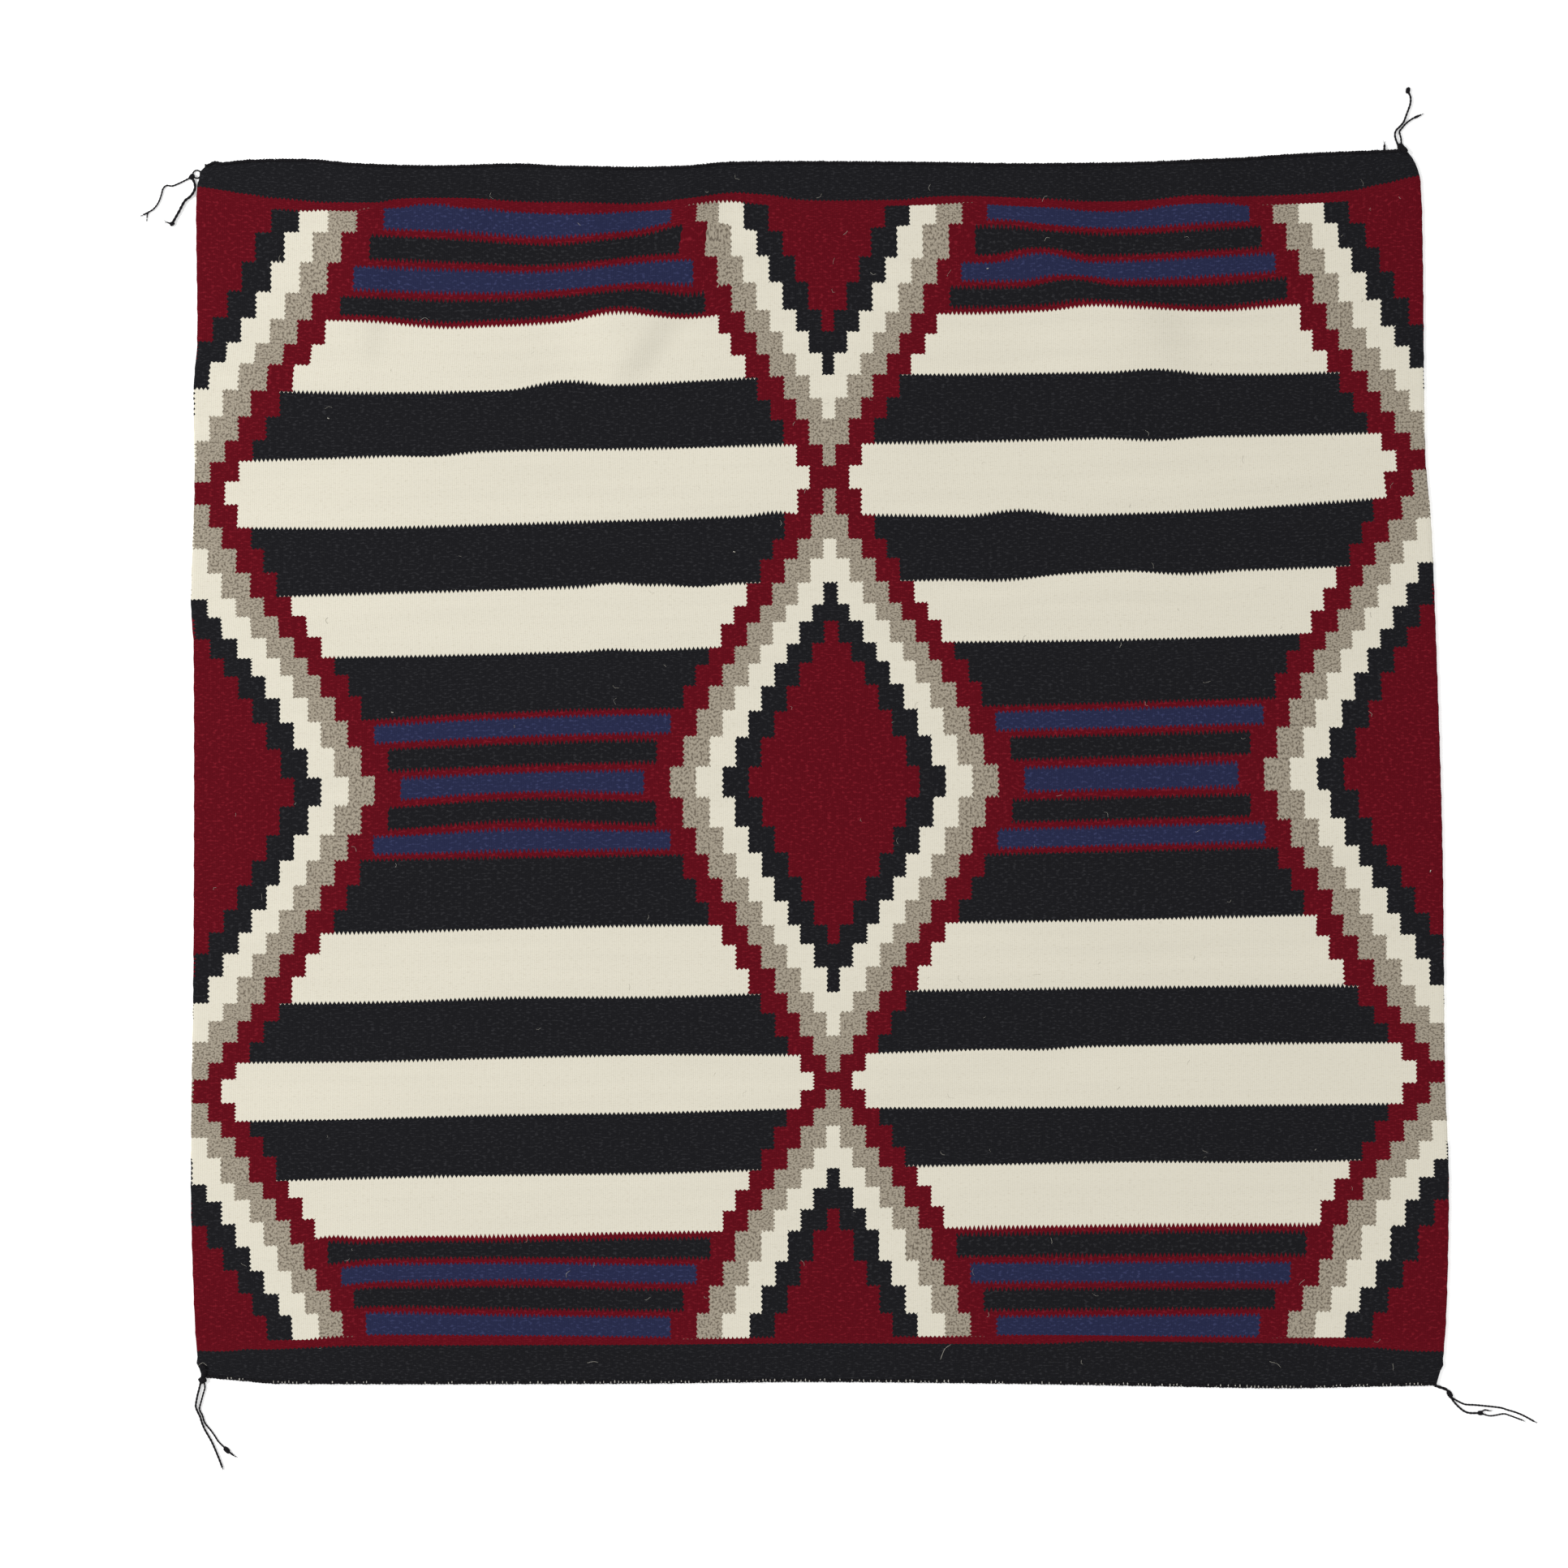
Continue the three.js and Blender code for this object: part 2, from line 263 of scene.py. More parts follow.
class Bench:
    """A node tree with short ways of adding to it."""

    def __init__(self, tree: bpy.types.NodeTree) -> None:
        """Take a tree and empty it."""
        self.tree = tree
        tree.nodes.clear()

    def add(self, kind: str, **settings: object) -> bpy.types.Node:
        """Add a node.

        Args:
            kind: The node's type, without its ShaderNode prefix.
            settings: Values of the node's own properties.

        Returns:
            The node.
        """
        node = self.tree.nodes.new(kind if kind.startswith("Node") else f"ShaderNode{kind}")
        for name, value in settings.items():
            setattr(node, name, value)
        return node

    def feed(self, socket: bpy.types.NodeSocket, value: object) -> None:
        """Link a socket into another one, or set a plain value on it."""
        if isinstance(value, bpy.types.NodeSocket):
            self.tree.links.new(value, socket)
        else:
            socket.default_value = value

    def math(self, operation: str, *values: object) -> bpy.types.NodeSocket:
        """Work out a number.

        Args:
            operation: Name of the Math node's operation.
            values: A number or a socket for each of its inputs.

        Returns:
            The socket with the result.
        """
        node = self.add("Math", operation=operation)
        for socket, value in zip(node.inputs, values):
            self.feed(socket, value)
        return node.outputs[0]

    def vector(self, *parts: object) -> bpy.types.NodeSocket:
        """Join up to three numbers or sockets into a vector."""
        node = self.add("CombineXYZ")
        for socket, value in zip(node.inputs, parts):
            self.feed(socket, value)
        return node.outputs[0]

    def scaled(
        self, vector: bpy.types.NodeSocket, scale: tuple[float, float, float]
    ) -> bpy.types.NodeSocket:
        """Stretch a vector by a number for each axis."""
        node = self.add("VectorMath", operation="MULTIPLY")
        self.feed(node.inputs[0], vector)
        self.feed(node.inputs[1], scale)
        return node.outputs[0]

    def noise(
        self, vector: bpy.types.NodeSocket, scale: float, detail: float = 2.0
    ) -> bpy.types.NodeSocket:
        """Even noise from nought to one over a vector."""
        node = self.add("TexNoise")
        self.feed(node.inputs["Vector"], vector)
        self.feed(node.inputs["Scale"], scale)
        self.feed(node.inputs["Detail"], detail)
        return node.outputs["Fac"]

    def spread(
        self, value: object, span: tuple[float, float], onto: tuple[float, float]
    ) -> bpy.types.NodeSocket:
        """Map one span of numbers onto another, held at its ends."""
        node = self.add("MapRange")
        names = ("Value", "From Min", "From Max", "To Min", "To Max")
        for name, number in zip(names, (value, *span, *onto)):
            self.feed(node.inputs[name], number)
        return node.outputs[0]

    def blend(self, share: object, first: object, second: object, how: str = "MIX") -> bpy.types.NodeSocket:
        """Mix two colours.

        Args:
            share: How much of the second colour there is.
            first: A colour or a socket.
            second: A colour or a socket.
            how: Name of the Mix node's blend type.

        Returns:
            The socket with the mixed colour.
        """
        node = self.add("Mix", data_type="RGBA", blend_type=how)
        for socket, value in zip((node.inputs[0], node.inputs[6], node.inputs[7]), (share, first, second)):
            self.feed(socket, value)
        return node.outputs[2]

    def use(self, group: bpy.types.NodeTree, **inputs: object) -> bpy.types.Node:
        """Place a shared group, with a value or a socket for each of its inputs."""
        node = self.add("Group", node_tree=group)
        for name, value in inputs.items():
            self.feed(node.inputs[name], value)
        return node

    def attribute(self, name: str) -> bpy.types.NodeSocket:
        """The vector that a piece keeps at its points under this name."""
        return self.add("Attribute", attribute_name=name).outputs["Vector"]


def new_group(
    name: str, inputs: dict[str, str], outputs: dict[str, str]
) -> tuple[Bench, bpy.types.NodeTree, dict[str, bpy.types.NodeSocket], bpy.types.Node]:
    """Start a shared node group.

    Args:
        name: The group's name.
        inputs: Name and kind of each input.
        outputs: Name and kind of each output.

    Returns:
        Its bench, its tree, its inputs by name and its output node.
    """
    tree = bpy.data.node_groups.new(name, "ShaderNodeTree")
    bench = Bench(tree)
    for sockets, way in ((inputs, "INPUT"), (outputs, "OUTPUT")):
        for title, kind in sockets.items():
            tree.interface.new_socket(name=title, in_out=way, socket_type=f"NodeSocket{kind}")
    source = bench.add("NodeGroupInput")
    return bench, tree, {s.name: s for s in source.outputs if s.name}, bench.add("NodeGroupOutput")


@dataclass(frozen=True)
class WeaveGroups:
    """The shared effects: heathered wool, weft beads with a mask for painted shade in their grooves, and
    the draft of the pattern.

    The teeth are the points that the wefts make at a change of colour, and the joints are the same
    at the sides of the steps.
    """

    fleck_limit: float = 0.72
    limit_per_share: float = 0.42
    fleck_sharpness: float = 7.0
    lot_size: tuple[float, float, float] = (0.02, 0.055, 1.0)
    pick_size: tuple[float, float, float] = (0.05, 0.4, 1.0)
    pick_share: float = 0.5
    shades: tuple[float, float] = (0.975, 1.025)
    rib_share: float = 0.55
    # How narrow the painted shade in the grooves between the warps is.
    groove_narrowness: float = 3.0
    tooth_rows: float = 0.17
    tooth_strengths: tuple[float, float] = (0.6, 1.2)
    tooth_patch: float = 0.03
    step_teeth: float = 0.5
    joint_pitch: float = 0.38
    joint_columns: float = 0.16
    uneven_columns: float = 0.13
    middle_row: float = 13.5
    steps: tuple[tuple[int, Wool], ...] = (
        (7, Wool.RED), (9, Wool.BLACK), (11, Wool.CREAM), (13, Wool.GREY), (15, Wool.RED),
    )
    stripes: tuple[tuple[float, Wool], ...] = (
        (0.37, Wool.NAVY), (0.63, Wool.RED), (1.37, Wool.BLACK), (1.61, Wool.RED), (2.28, Wool.NAVY),
        (2.5, Wool.RED), (5.5, Wool.BLACK), (8.5, Wool.CREAM), (11.5, Wool.BLACK), (14.5, Wool.CREAM),
        (17.5, Wool.BLACK), (20.5, Wool.CREAM), (20.72, Wool.RED), (21.40, Wool.BLACK),
        (21.64, Wool.RED), (22.38, Wool.NAVY), (22.63, Wool.RED), (23.40, Wool.BLACK),
        (23.64, Wool.RED), (24.45, Wool.NAVY), (25.5, Wool.RED), (28.0, Wool.BLACK),
    )

    def heather(self) -> bpy.types.NodeTree:
        """Build the wool that is spun from lighter and darker fibres.

        Returns:
            A group that puts out a colour, and its fibres as a height.
        """
        bench, tree, given, result = new_group(
            "heathered_wool",
            {"Grain": "Vector", "Base": "Color", "Fleck": "Color", "Share": "Float"},
            {"Color": "Color", "Fibres": "Float"},
        )
        fine = bench.noise(given["Grain"], 1.0, 3.0)
        limit = bench.math("MULTIPLY_ADD", given["Share"], -self.limit_per_share, self.fleck_limit)
        flecks = bench.math("MULTIPLY", bench.math("SUBTRACT", fine, limit), self.fleck_sharpness)
        flecks = bench.math("MINIMUM", bench.math("MAXIMUM", flecks, 0.0), 1.0)
        colour = bench.blend(flecks, given["Base"], given["Fleck"])
        lot = bench.noise(bench.scaled(given["Grain"], self.lot_size), 1.0, 2.0)
        pick = bench.noise(bench.scaled(given["Grain"], self.pick_size), 1.0, 1.0)
        shade = bench.math("MULTIPLY_ADD", pick, self.pick_share, lot)
        shade = bench.spread(shade, (0.45, 1.05), self.shades)
        colour = bench.blend(1.0, colour, bench.vector(shade, shade, shade), "MULTIPLY")
        bench.feed(result.inputs["Color"], colour)
        bench.feed(result.inputs["Fibres"], fine)
        return tree

    def beads(self) -> bpy.types.NodeTree:
        """Build the relief of wefts that are beaten down over the warps.

        Returns:
            A group that puts out the relief, and a mask of the grooves between the warps, which the web's
            material uses to paint shade into them.
        """
        bench, tree, given, result = new_group(
            "weft_beads", {"Warp": "Float", "Weft": "Float"}, {"Relief": "Float", "Groove": "Float"}
        )
        rib = bench.math("SINE", bench.math("MULTIPLY", bench.math("FRACT", given["Warp"]), math.pi))
        parity = bench.math("MODULO", bench.math("FLOOR", given["Warp"]), 2.0)
        turn = bench.math("FRACT", bench.math("DIVIDE", bench.math("ADD", given["Weft"], parity), 2.0))
        bead = bench.math("SINE", bench.math("MULTIPLY", turn, math.pi))
        crown = bench.math("MULTIPLY_ADD", bead, 1.0 - self.rib_share, self.rib_share)
        # Mask of the grooves between the warps, where painted shade goes.
        groove = bench.math("POWER", bench.math("SUBTRACT", 1.0, rib), self.groove_narrowness)
        bench.feed(result.inputs["Relief"], bench.math("MULTIPLY", rib, crown))
        bench.feed(result.inputs["Groove"], groove)
        return tree

    def draft(self) -> bpy.types.NodeTree:
        """Build the pattern: stepped diamonds that are laid over stripes.

        The diamonds count whole columns from the nearest diamond's middle and whole rows from the
        middle row. The stripes only count rows, and mirror about the middle row too.

        Returns:
            A group that puts out the number of the wool at each place.
        """
        bench, tree, given, result = new_group(
            "stepped_draft",
            {"Column": "Float", "Row": "Float", "Warp": "Float", "Weft": "Float"},
            {"Wool": "Float"},
        )
        tooth = bench.math("SUBTRACT", bench.math("PINGPONG", given["Warp"], 1.0), 0.5)
        patch = bench.vector(bench.math("MULTIPLY", given["Warp"], self.tooth_patch), given["Row"])
        strength = bench.spread(bench.noise(patch, 1.0, 1.0), (0.35, 0.65), self.tooth_strengths)
        tooth = bench.math("MULTIPLY", bench.math("MULTIPLY", tooth, strength), self.tooth_rows)
        striped_row = bench.math("ADD", given["Row"], tooth)
        row = bench.math("MULTIPLY_ADD", tooth, self.step_teeth, given["Row"])
        joint = bench.math("PINGPONG", bench.math("MULTIPLY", given["Weft"], self.joint_pitch), 1.0)
        joint = bench.math("MULTIPLY", bench.math("SUBTRACT", joint, 0.5), strength)
        joint = bench.math("MULTIPLY", joint, self.joint_columns)
        step = bench.add("TexWhiteNoise", noise_dimensions="2D")
        step_place = bench.vector(bench.math("ROUND", given["Column"]), bench.math("FLOOR", row))
        bench.feed(step.inputs["Vector"], step_place)
        uneven = bench.math("SUBTRACT", step.outputs["Value"], 0.5)
        uneven = bench.math("MULTIPLY", uneven, self.uneven_columns)
        column = bench.math("ADD", given["Column"], bench.math("ADD", joint, uneven))
        from_middle = bench.math("ABSOLUTE", bench.math("SUBTRACT", row, self.middle_row))
        whole_rows = bench.math("FLOOR", bench.math("ADD", from_middle, 0.5))
        half_diamond = self.middle_row - 0.5
        fold = bench.math("ABSOLUTE", bench.math("SUBTRACT", whole_rows, half_diamond))
        taper = bench.math("SUBTRACT", half_diamond, fold)
        distance = bench.math("ADD", bench.math("FLOOR", column), taper)
        diamond = self.count(bench, distance, [(limit - 0.5, wool) for limit, wool in self.steps])
        from_middle = bench.math("ABSOLUTE", bench.math("SUBTRACT", striped_row, self.middle_row))
        stripe = self.count(bench, from_middle, list(self.stripes))
        outside = bench.math("GREATER_THAN", distance, self.steps[-1][0] - 0.5)
        past_diamonds = bench.math("GREATER_THAN", from_middle, self.stripes[-3][0] + 0.05)
        striped = bench.math("MAXIMUM", outside, past_diamonds)
        change = bench.math("MULTIPLY", striped, bench.math("SUBTRACT", stripe, diamond))
        bench.feed(result.inputs["Wool"], bench.math("ADD", diamond, change))
        return tree

    @staticmethod
    def count(
        bench: Bench, measure: bpy.types.NodeSocket, table: list[tuple[float, Wool]]
    ) -> bpy.types.NodeSocket:
        """Look a wool up in a table of limits.

        Args:
            bench: Where the nodes go.
            measure: The number that is compared with the limits.
            table: Each wool with the limit up to which it reaches.

        Returns:
            The socket with the wool's number.
        """
        total: object = float(table[0][1].number)
        for (limit, wool), (_, following) in zip(table, table[1:]):
            passed = bench.math("GREATER_THAN", measure, limit)
            total = bench.math("MULTIPLY_ADD", passed, float(following.number - wool.number), total)
        return total


def new_material(name: str, roughness: float) -> tuple[Bench, bpy.types.Material, bpy.types.Node]:
    """Start a wool material.

    Args:
        name: The material's name.
        roughness: How matt it is.

    Returns:
        Its bench, the material and its shader.
    """
    material = bpy.data.materials.new(name)
    material.use_nodes = True
    bench = Bench(material.node_tree)
    shader = bench.add("BsdfPrincipled")
    shader.inputs["Roughness"].default_value = roughness
    shader.inputs["Specular IOR Level"].default_value = 0.05
    bench.feed(bench.add("OutputMaterial").inputs["Surface"], shader.outputs[0])
    return bench, material, shader


@dataclass(frozen=True)
class WebFinish:
    """The web's wools in their pattern, with the relief of the weave and painted shade in the grooves
    between the warps.
    """

    groups: WeaveGroups
    relief: float = 0.00011
    fuzz: float = 0.00008
    # Painted shade: how much the grooves between the warps are darkened, and the tone they darken to.
    groove_shade: float = 0.08
    groove_shade_tone: float = 0.45

    def material(self, heather: bpy.types.NodeTree) -> bpy.types.Material:
        """Mix the web's material.

        Args:
            heather: The shared group for heathered wool.

        Returns:
            The material.
        """
        bench, material, shader = new_material("rug_wool", 0.95)
        draft = bench.add("SeparateXYZ")
        bench.feed(draft.inputs[0], bench.attribute("draft"))
        weave = bench.add("SeparateXYZ")
        bench.feed(weave.inputs[0], bench.attribute("weave"))
        warp, weft = weave.outputs[0], weave.outputs[1]
        wool = bench.use(
            self.groups.draft(), Column=draft.outputs[0], Row=draft.outputs[1], Warp=warp, Weft=weft
        ).outputs["Wool"]
        colour: object = (0.0, 0.0, 0.0, 1.0)
        for kind in Wool:
            grain = bench.scaled(bench.vector(warp, weft, wool), (*kind.value.flecks, 1.0))
            spun = bench.use(
                heather,
                Grain=grain,
                Base=linear(kind.value.base),
                Fleck=linear(kind.value.fleck),
                Share=kind.value.share,
            )
            here = bench.math("COMPARE", wool, float(kind.number), 0.5)
            colour = bench.blend(here, colour, spun.outputs["Color"])
        beads = bench.use(self.groups.beads(), Warp=warp, Weft=weft)
        # Painted shade: darken the colour in the grooves between the warps.
        shade = bench.math("MULTIPLY", beads.outputs["Groove"], self.groove_shade)
        shaded = bench.blend(1.0, colour, (*[self.groove_shade_tone] * 3, 1.0), "MULTIPLY")
        colour = bench.blend(shade, colour, shaded)
        bench.feed(shader.inputs["Base Color"], colour)
        bump = bench.add("Bump")
        bump.inputs["Distance"].default_value = self.relief
        bench.feed(bump.inputs["Height"], beads.outputs["Relief"])
        fuzz = bench.add("Bump")
        fuzz.inputs["Distance"].default_value = self.fuzz
        bench.feed(fuzz.inputs["Height"], spun.outputs["Fibres"])
        bench.feed(fuzz.inputs["Normal"], bump.outputs["Normal"])
        bench.feed(shader.inputs["Normal"], fuzz.outputs["Normal"])
        return material


@dataclass(frozen=True)
class YarnFinish:
    """Twisted yarn, with fibres that run along its plies."""

    name: str
    dye: Dye
    fibre_depth: float = 0.00025
    fibres_per_metre: tuple[float, float, float] = (450.0, 2600.0, 2600.0)

    def material(self, heather: bpy.types.NodeTree) -> bpy.types.Material:
        """Mix the yarn's material.

        Args:
            heather: The shared group for heathered wool.

        Returns:
            The material.
        """
        bench, material, shader = new_material(self.name, 0.9)
        grain = bench.scaled(bench.attribute("ply"), self.fibres_per_metre)
        spun = bench.use(
            heather,
            Grain=grain,
            Base=linear(self.dye.base),
            Fleck=linear(self.dye.fleck),
            Share=self.dye.share,
        )
        bench.feed(shader.inputs["Base Color"], spun.outputs["Color"])
        bump = bench.add("Bump")
        bump.inputs["Distance"].default_value = self.fibre_depth
        bench.feed(bump.inputs["Height"], spun.outputs["Fibres"])
        bench.feed(shader.inputs["Normal"], bump.outputs["Normal"])
        return material


def new_piece(
    name: str, bm: bmesh.types.BMesh, material: bpy.types.Material
) -> bpy.types.Object:
    """Make a finished piece that rides on the rug's one body.

    Args:
        name: The piece's name.
        bm: Its shape, in place. It is freed.
        material: Its finish.

    Returns:
        The piece.
    """
    mesh = bpy.data.meshes.new(name)
    bm.to_mesh(mesh)
    bm.free()
    mesh.materials.append(material)
    mesh.polygons.foreach_set("use_smooth", [True] * len(mesh.polygons))
    piece = bpy.data.objects.new(name, mesh)
    bpy.context.scene.collection.objects.link(piece)
    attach(piece, "root")
    LOG.info("%s: %d faces", name, len(mesh.polygons))
    return piece


def keep_vectors(piece: bpy.types.Object, name: str, values: np.ndarray) -> None:
    """Keep a vector at each point of a piece, under a name that its material reads."""
    layer = piece.data.attributes.new(name, "FLOAT_VECTOR", "POINT")
    layer.data.foreach_set("vector", values.astype(np.float32).ravel())


def points_of(piece: bpy.types.Object) -> np.ndarray:
    """The points of a piece as rows of three numbers."""
    points = np.empty(len(piece.data.vertices) * 3)
    piece.data.vertices.foreach_get("co", points)
    return points.reshape(-1, 3)


@dataclass(frozen=True)
class RowLine:
    """The line at which a row starts: its row, and its heights at even stations from left to right.

    The heights are read off the photograph, in its pixels from the top. Lines between two stripes
    have nine or seventeen. Lines that only show as steps in the three diamonds have one for each diamond.
    """

    row: int
    heights: tuple[float, ...]


@dataclass(frozen=True)
class Rows:
    """The rows of the pattern, whose lines waver over the width of the web.

    At the swells the wefts were beaten down further, or less, than beside them. Their x and half
    width are in pixels, their y and half height in rows, and their size is in pixels down.
    """

    stations: tuple[float, float] = (245, 1755)
    end_rows: tuple[int, int] = (-14, 41)
    row_height: float = 30.0
    stripes: tuple[RowLine, ...] = (
        RowLine(-12, (230, 245, 252, 245, 248, 251, 251, 238, 248, 247, 244, 247, 249, 243, 243, 236, 215)),
        RowLine(-11, (242, 257, 258, 250, 257, 261, 257, 247, 258, 253, 248, 254, 258, 249, 251, 246, 226)),
        RowLine(-10, (287, 286, 293, 286, 284, 275, 285, 275, 276)),
        RowLine(-9, (322, 324, 329, 318, 315, 320, 319, 309, 303)),
        RowLine(-8, (357, 363, 366, 352, 347, 350, 350, 339, 333)),
        RowLine(-7, (390, 396, 402, 387, 382, 387, 380, 377, 365)),
        RowLine(-4, (479, 484, 481, 472, 462, 461, 459, 461, 453)),
        RowLine(-1, (570, 564, 556, 553, 548, 545, 540, 537, 533)),
        RowLine(2, (650, 651, 646, 640, 634, 636, 634, 624, 610)),
        RowLine(5, (739, 733, 727, 721, 718, 714, 704, 702, 693)),
        RowLine(8, (812, 810, 806, 801, 793, 791, 789, 783, 772)),
        RowLine(11, (893, 888, 878, 873, 877, 871, 866, 861, 865)),
        RowLine(16, (1061, 1060, 1057, 1054, 1050, 1053, 1049, 1045, 1040)),
        RowLine(19, (1149, 1150, 1145, 1141, 1140, 1137, 1134, 1129, 1125)),
        RowLine(22, (1237, 1236, 1230, 1229, 1223, 1220, 1217, 1215, 1214)),
        RowLine(25, (1310, 1309, 1304, 1300, 1300, 1294, 1289, 1286, 1285)),
        RowLine(28, (1383, 1379, 1374, 1371, 1366, 1365, 1364, 1362, 1360)),
        RowLine(31, (1460, 1453, 1449, 1446, 1440, 1436, 1432, 1432, 1428)),
        RowLine(34, (1540, 1525, 1522, 1518, 1516, 1512, 1509, 1508, 1510)),
        RowLine(38, (1660, 1648, 1649, 1650, 1648, 1649, 1649, 1649, 1653)),
        RowLine(39, (1664, 1658, 1656, 1655, 1654, 1653, 1652, 1653, 1664)),
    )
    steps: tuple[RowLine, ...] = (
        RowLine(-6, (421, 408, 400)), RowLine(-5, (445, 435, 425)), RowLine(-3, (513, 491, 480)),
        RowLine(-2, (544, 516, 506)), RowLine(0, (594, 574, 553)), RowLine(1, (622, 602, 578)),
        RowLine(3, (676, 664, 638)), RowLine(4, (707, 688, 665)), RowLine(6, (761, 745, 717)),
        RowLine(7, (788, 765, 745)), RowLine(9, (834, 816, 796)), RowLine(10, (862, 845, 828)),
        RowLine(12, (925, 909, 898)), RowLine(13, (961, 945, 934)), RowLine(14, (995, 982, 973)),
        RowLine(15, (1030, 1018, 1006)), RowLine(17, (1091, 1080, 1065)), RowLine(18, (1121, 1110, 1092)),
        RowLine(20, (1175, 1163, 1151)), RowLine(21, (1203, 1192, 1181)), RowLine(23, (1258, 1247, 1240)),
        RowLine(24, (1284, 1277, 1260)), RowLine(26, (1330, 1321, 1306)), RowLine(27, (1360, 1343, 1334)),
        RowLine(29, (1402, 1387, 1380)), RowLine(30, (1427, 1415, 1406)), RowLine(32, (1481, 1464, 1450)),
        RowLine(33, (1511, 1490, 1478)), RowLine(35, (1567, 1554, 1554)), RowLine(36, (1595, 1584, 1588)),
        RowLine(37, (1623, 1618, 1618)),
    )
    swells: tuple[Swell, ...] = (
        # x, y, half width, half height and size
        Swell(858, -10.2, 85, 0.8, -12), Swell(695, -9.6, 130, 1.8, 5.5), Swell(540, -7, 80, 1.2, 3.5),
        Swell(750, -7, 55, 1.1, -4.5), Swell(850, -7.2, 75, 1.5, 10), Swell(1240, -10.5, 60, 1.2, -3),
        Swell(1283, -9, 66, 0.9, -11), Swell(1320, -8, 66, 0.9, -10), Swell(1345, -7, 60, 1.0, -4),
        Swell(1490, -7.2, 110, 1.3, 5.5), Swell(692, -4, 70, 1.8, -9.5), Swell(1425, -4, 66, 1.8, -5),
        Swell(536, -1, 60, 1.5, 3.5), Swell(1425, -1, 70, 1.8, 4), Swell(1256, 2, 70, 2.0, -6.5),
        Swell(955, 2, 40, 1.0, -4), Swell(755, 5, 48, 1.6, -3.5), Swell(860, 5, 48, 1.6, 3.5),
        Swell(1240, 5, 80, 1.8, 4), Swell(1460, 5, 80, 1.8, 5), Swell(750, 8, 48, 1.5, -3),
        Swell(640, 14.4, 190, 1.8, -6), Swell(640, 35.6, 190, 1.4, -4), Swell(365, 35.6, 110, 2.9, 8),
        Swell(406, 34, 46, 0.9, -6), Swell(1280, 25, 60, 1.5, 3),
    )

    def curve(self, heights: tuple[float, ...]) -> WaveringLine:
        """The smooth line through heights at even stations."""
        return WaveringLine(tuple(zip(np.linspace(*self.stations, len(heights)), heights)))

    def lines_at(self, x: np.ndarray) -> list[tuple[int, np.ndarray]]:
        """Read all the lines.

        Args:
            x: Places across the photograph, in its pixels.

        Returns:
            Each line's row and its heights there, from the top down.
        """
        known = {line.row: self.curve(line.heights) for line in self.stripes}
        lines = {row: curve.at(x) for row, curve in known.items()}
        for step in self.steps:
            above = max(row for row in known if row < step.row)
            below = min(row for row in known if row > step.row)
            share = (step.row - above) / (below - above)
            places = np.linspace(*self.stations, len(step.heights))
            even = known[above].at(places) * (1 - share) + known[below].at(places) * share
            own = self.curve(tuple(np.array(step.heights) - even)).at(x)
            lines[step.row] = lines[above] * (1 - share) + lines[below] * share + own
        return sorted(lines.items())

    def row_at(self, x: np.ndarray, y: np.ndarray) -> np.ndarray:
        """Count rows down the web.

        Args:
            x: X of each place.
            y: Y of each place.

        Returns:
            The row at each place, with the share of that row already passed.
        """
        across = x / METRES_PER_PIXEL + ORIGIN_PIXEL[0]
        down = ORIGIN_PIXEL[1] - y / METRES_PER_PIXEL
        top, bottom = (ORIGIN_PIXEL[1] - OUTLINE.web_end(x, end) / METRES_PER_PIXEL for end in End)
        lines = [(self.end_rows[0], top), *self.lines_at(across), (self.end_rows[1], bottom)]
        count = np.full_like(x, float(lines[0][0]))
        for (first, above), (second, below) in zip(lines, lines[1:]):
            count += (second - first) * np.clip((down - above) / (below - above), 0, 1)
        return count - self.swell_at(across, count)

    def swell_at(self, x: np.ndarray, row: np.ndarray) -> np.ndarray:
        """How many rows lower the wefts lie at each place."""
        total = np.zeros_like(x)
        for swell in self.swells:
            total += swell.at(x, row)
        return total / self.row_height


@dataclass(frozen=True)
class SideColumns:
    """The columns beside one edge, at four heights: the first one's width, and how they narrow."""

    heights: tuple[float, ...] = (-0.630, -0.015, 0.450, 0.620)
    widths: tuple[float, ...] = (0.0162, 0.0160, 0.0159, 0.0165)
    narrowing: tuple[float, ...] = (0.000136, 0.000054, 0.000045, 0.000045)
    furthest: float = 0.3

    def count(self, inward: np.ndarray, y: np.ndarray) -> np.ndarray:
        """Count columns inwards from the edge.

        Args:
            inward: How far each place is from the edge.
            y: Y of each place.

        Returns:
            The column, with the share of it already passed.
        """
        width = np.interp(y, self.heights, self.widths)
        less = np.interp(y, self.heights, self.narrowing)
        inward = np.clip(inward, 0, self.furthest)
        return (width - np.sqrt(width**2 - 4 * less * inward)) / (2 * less)


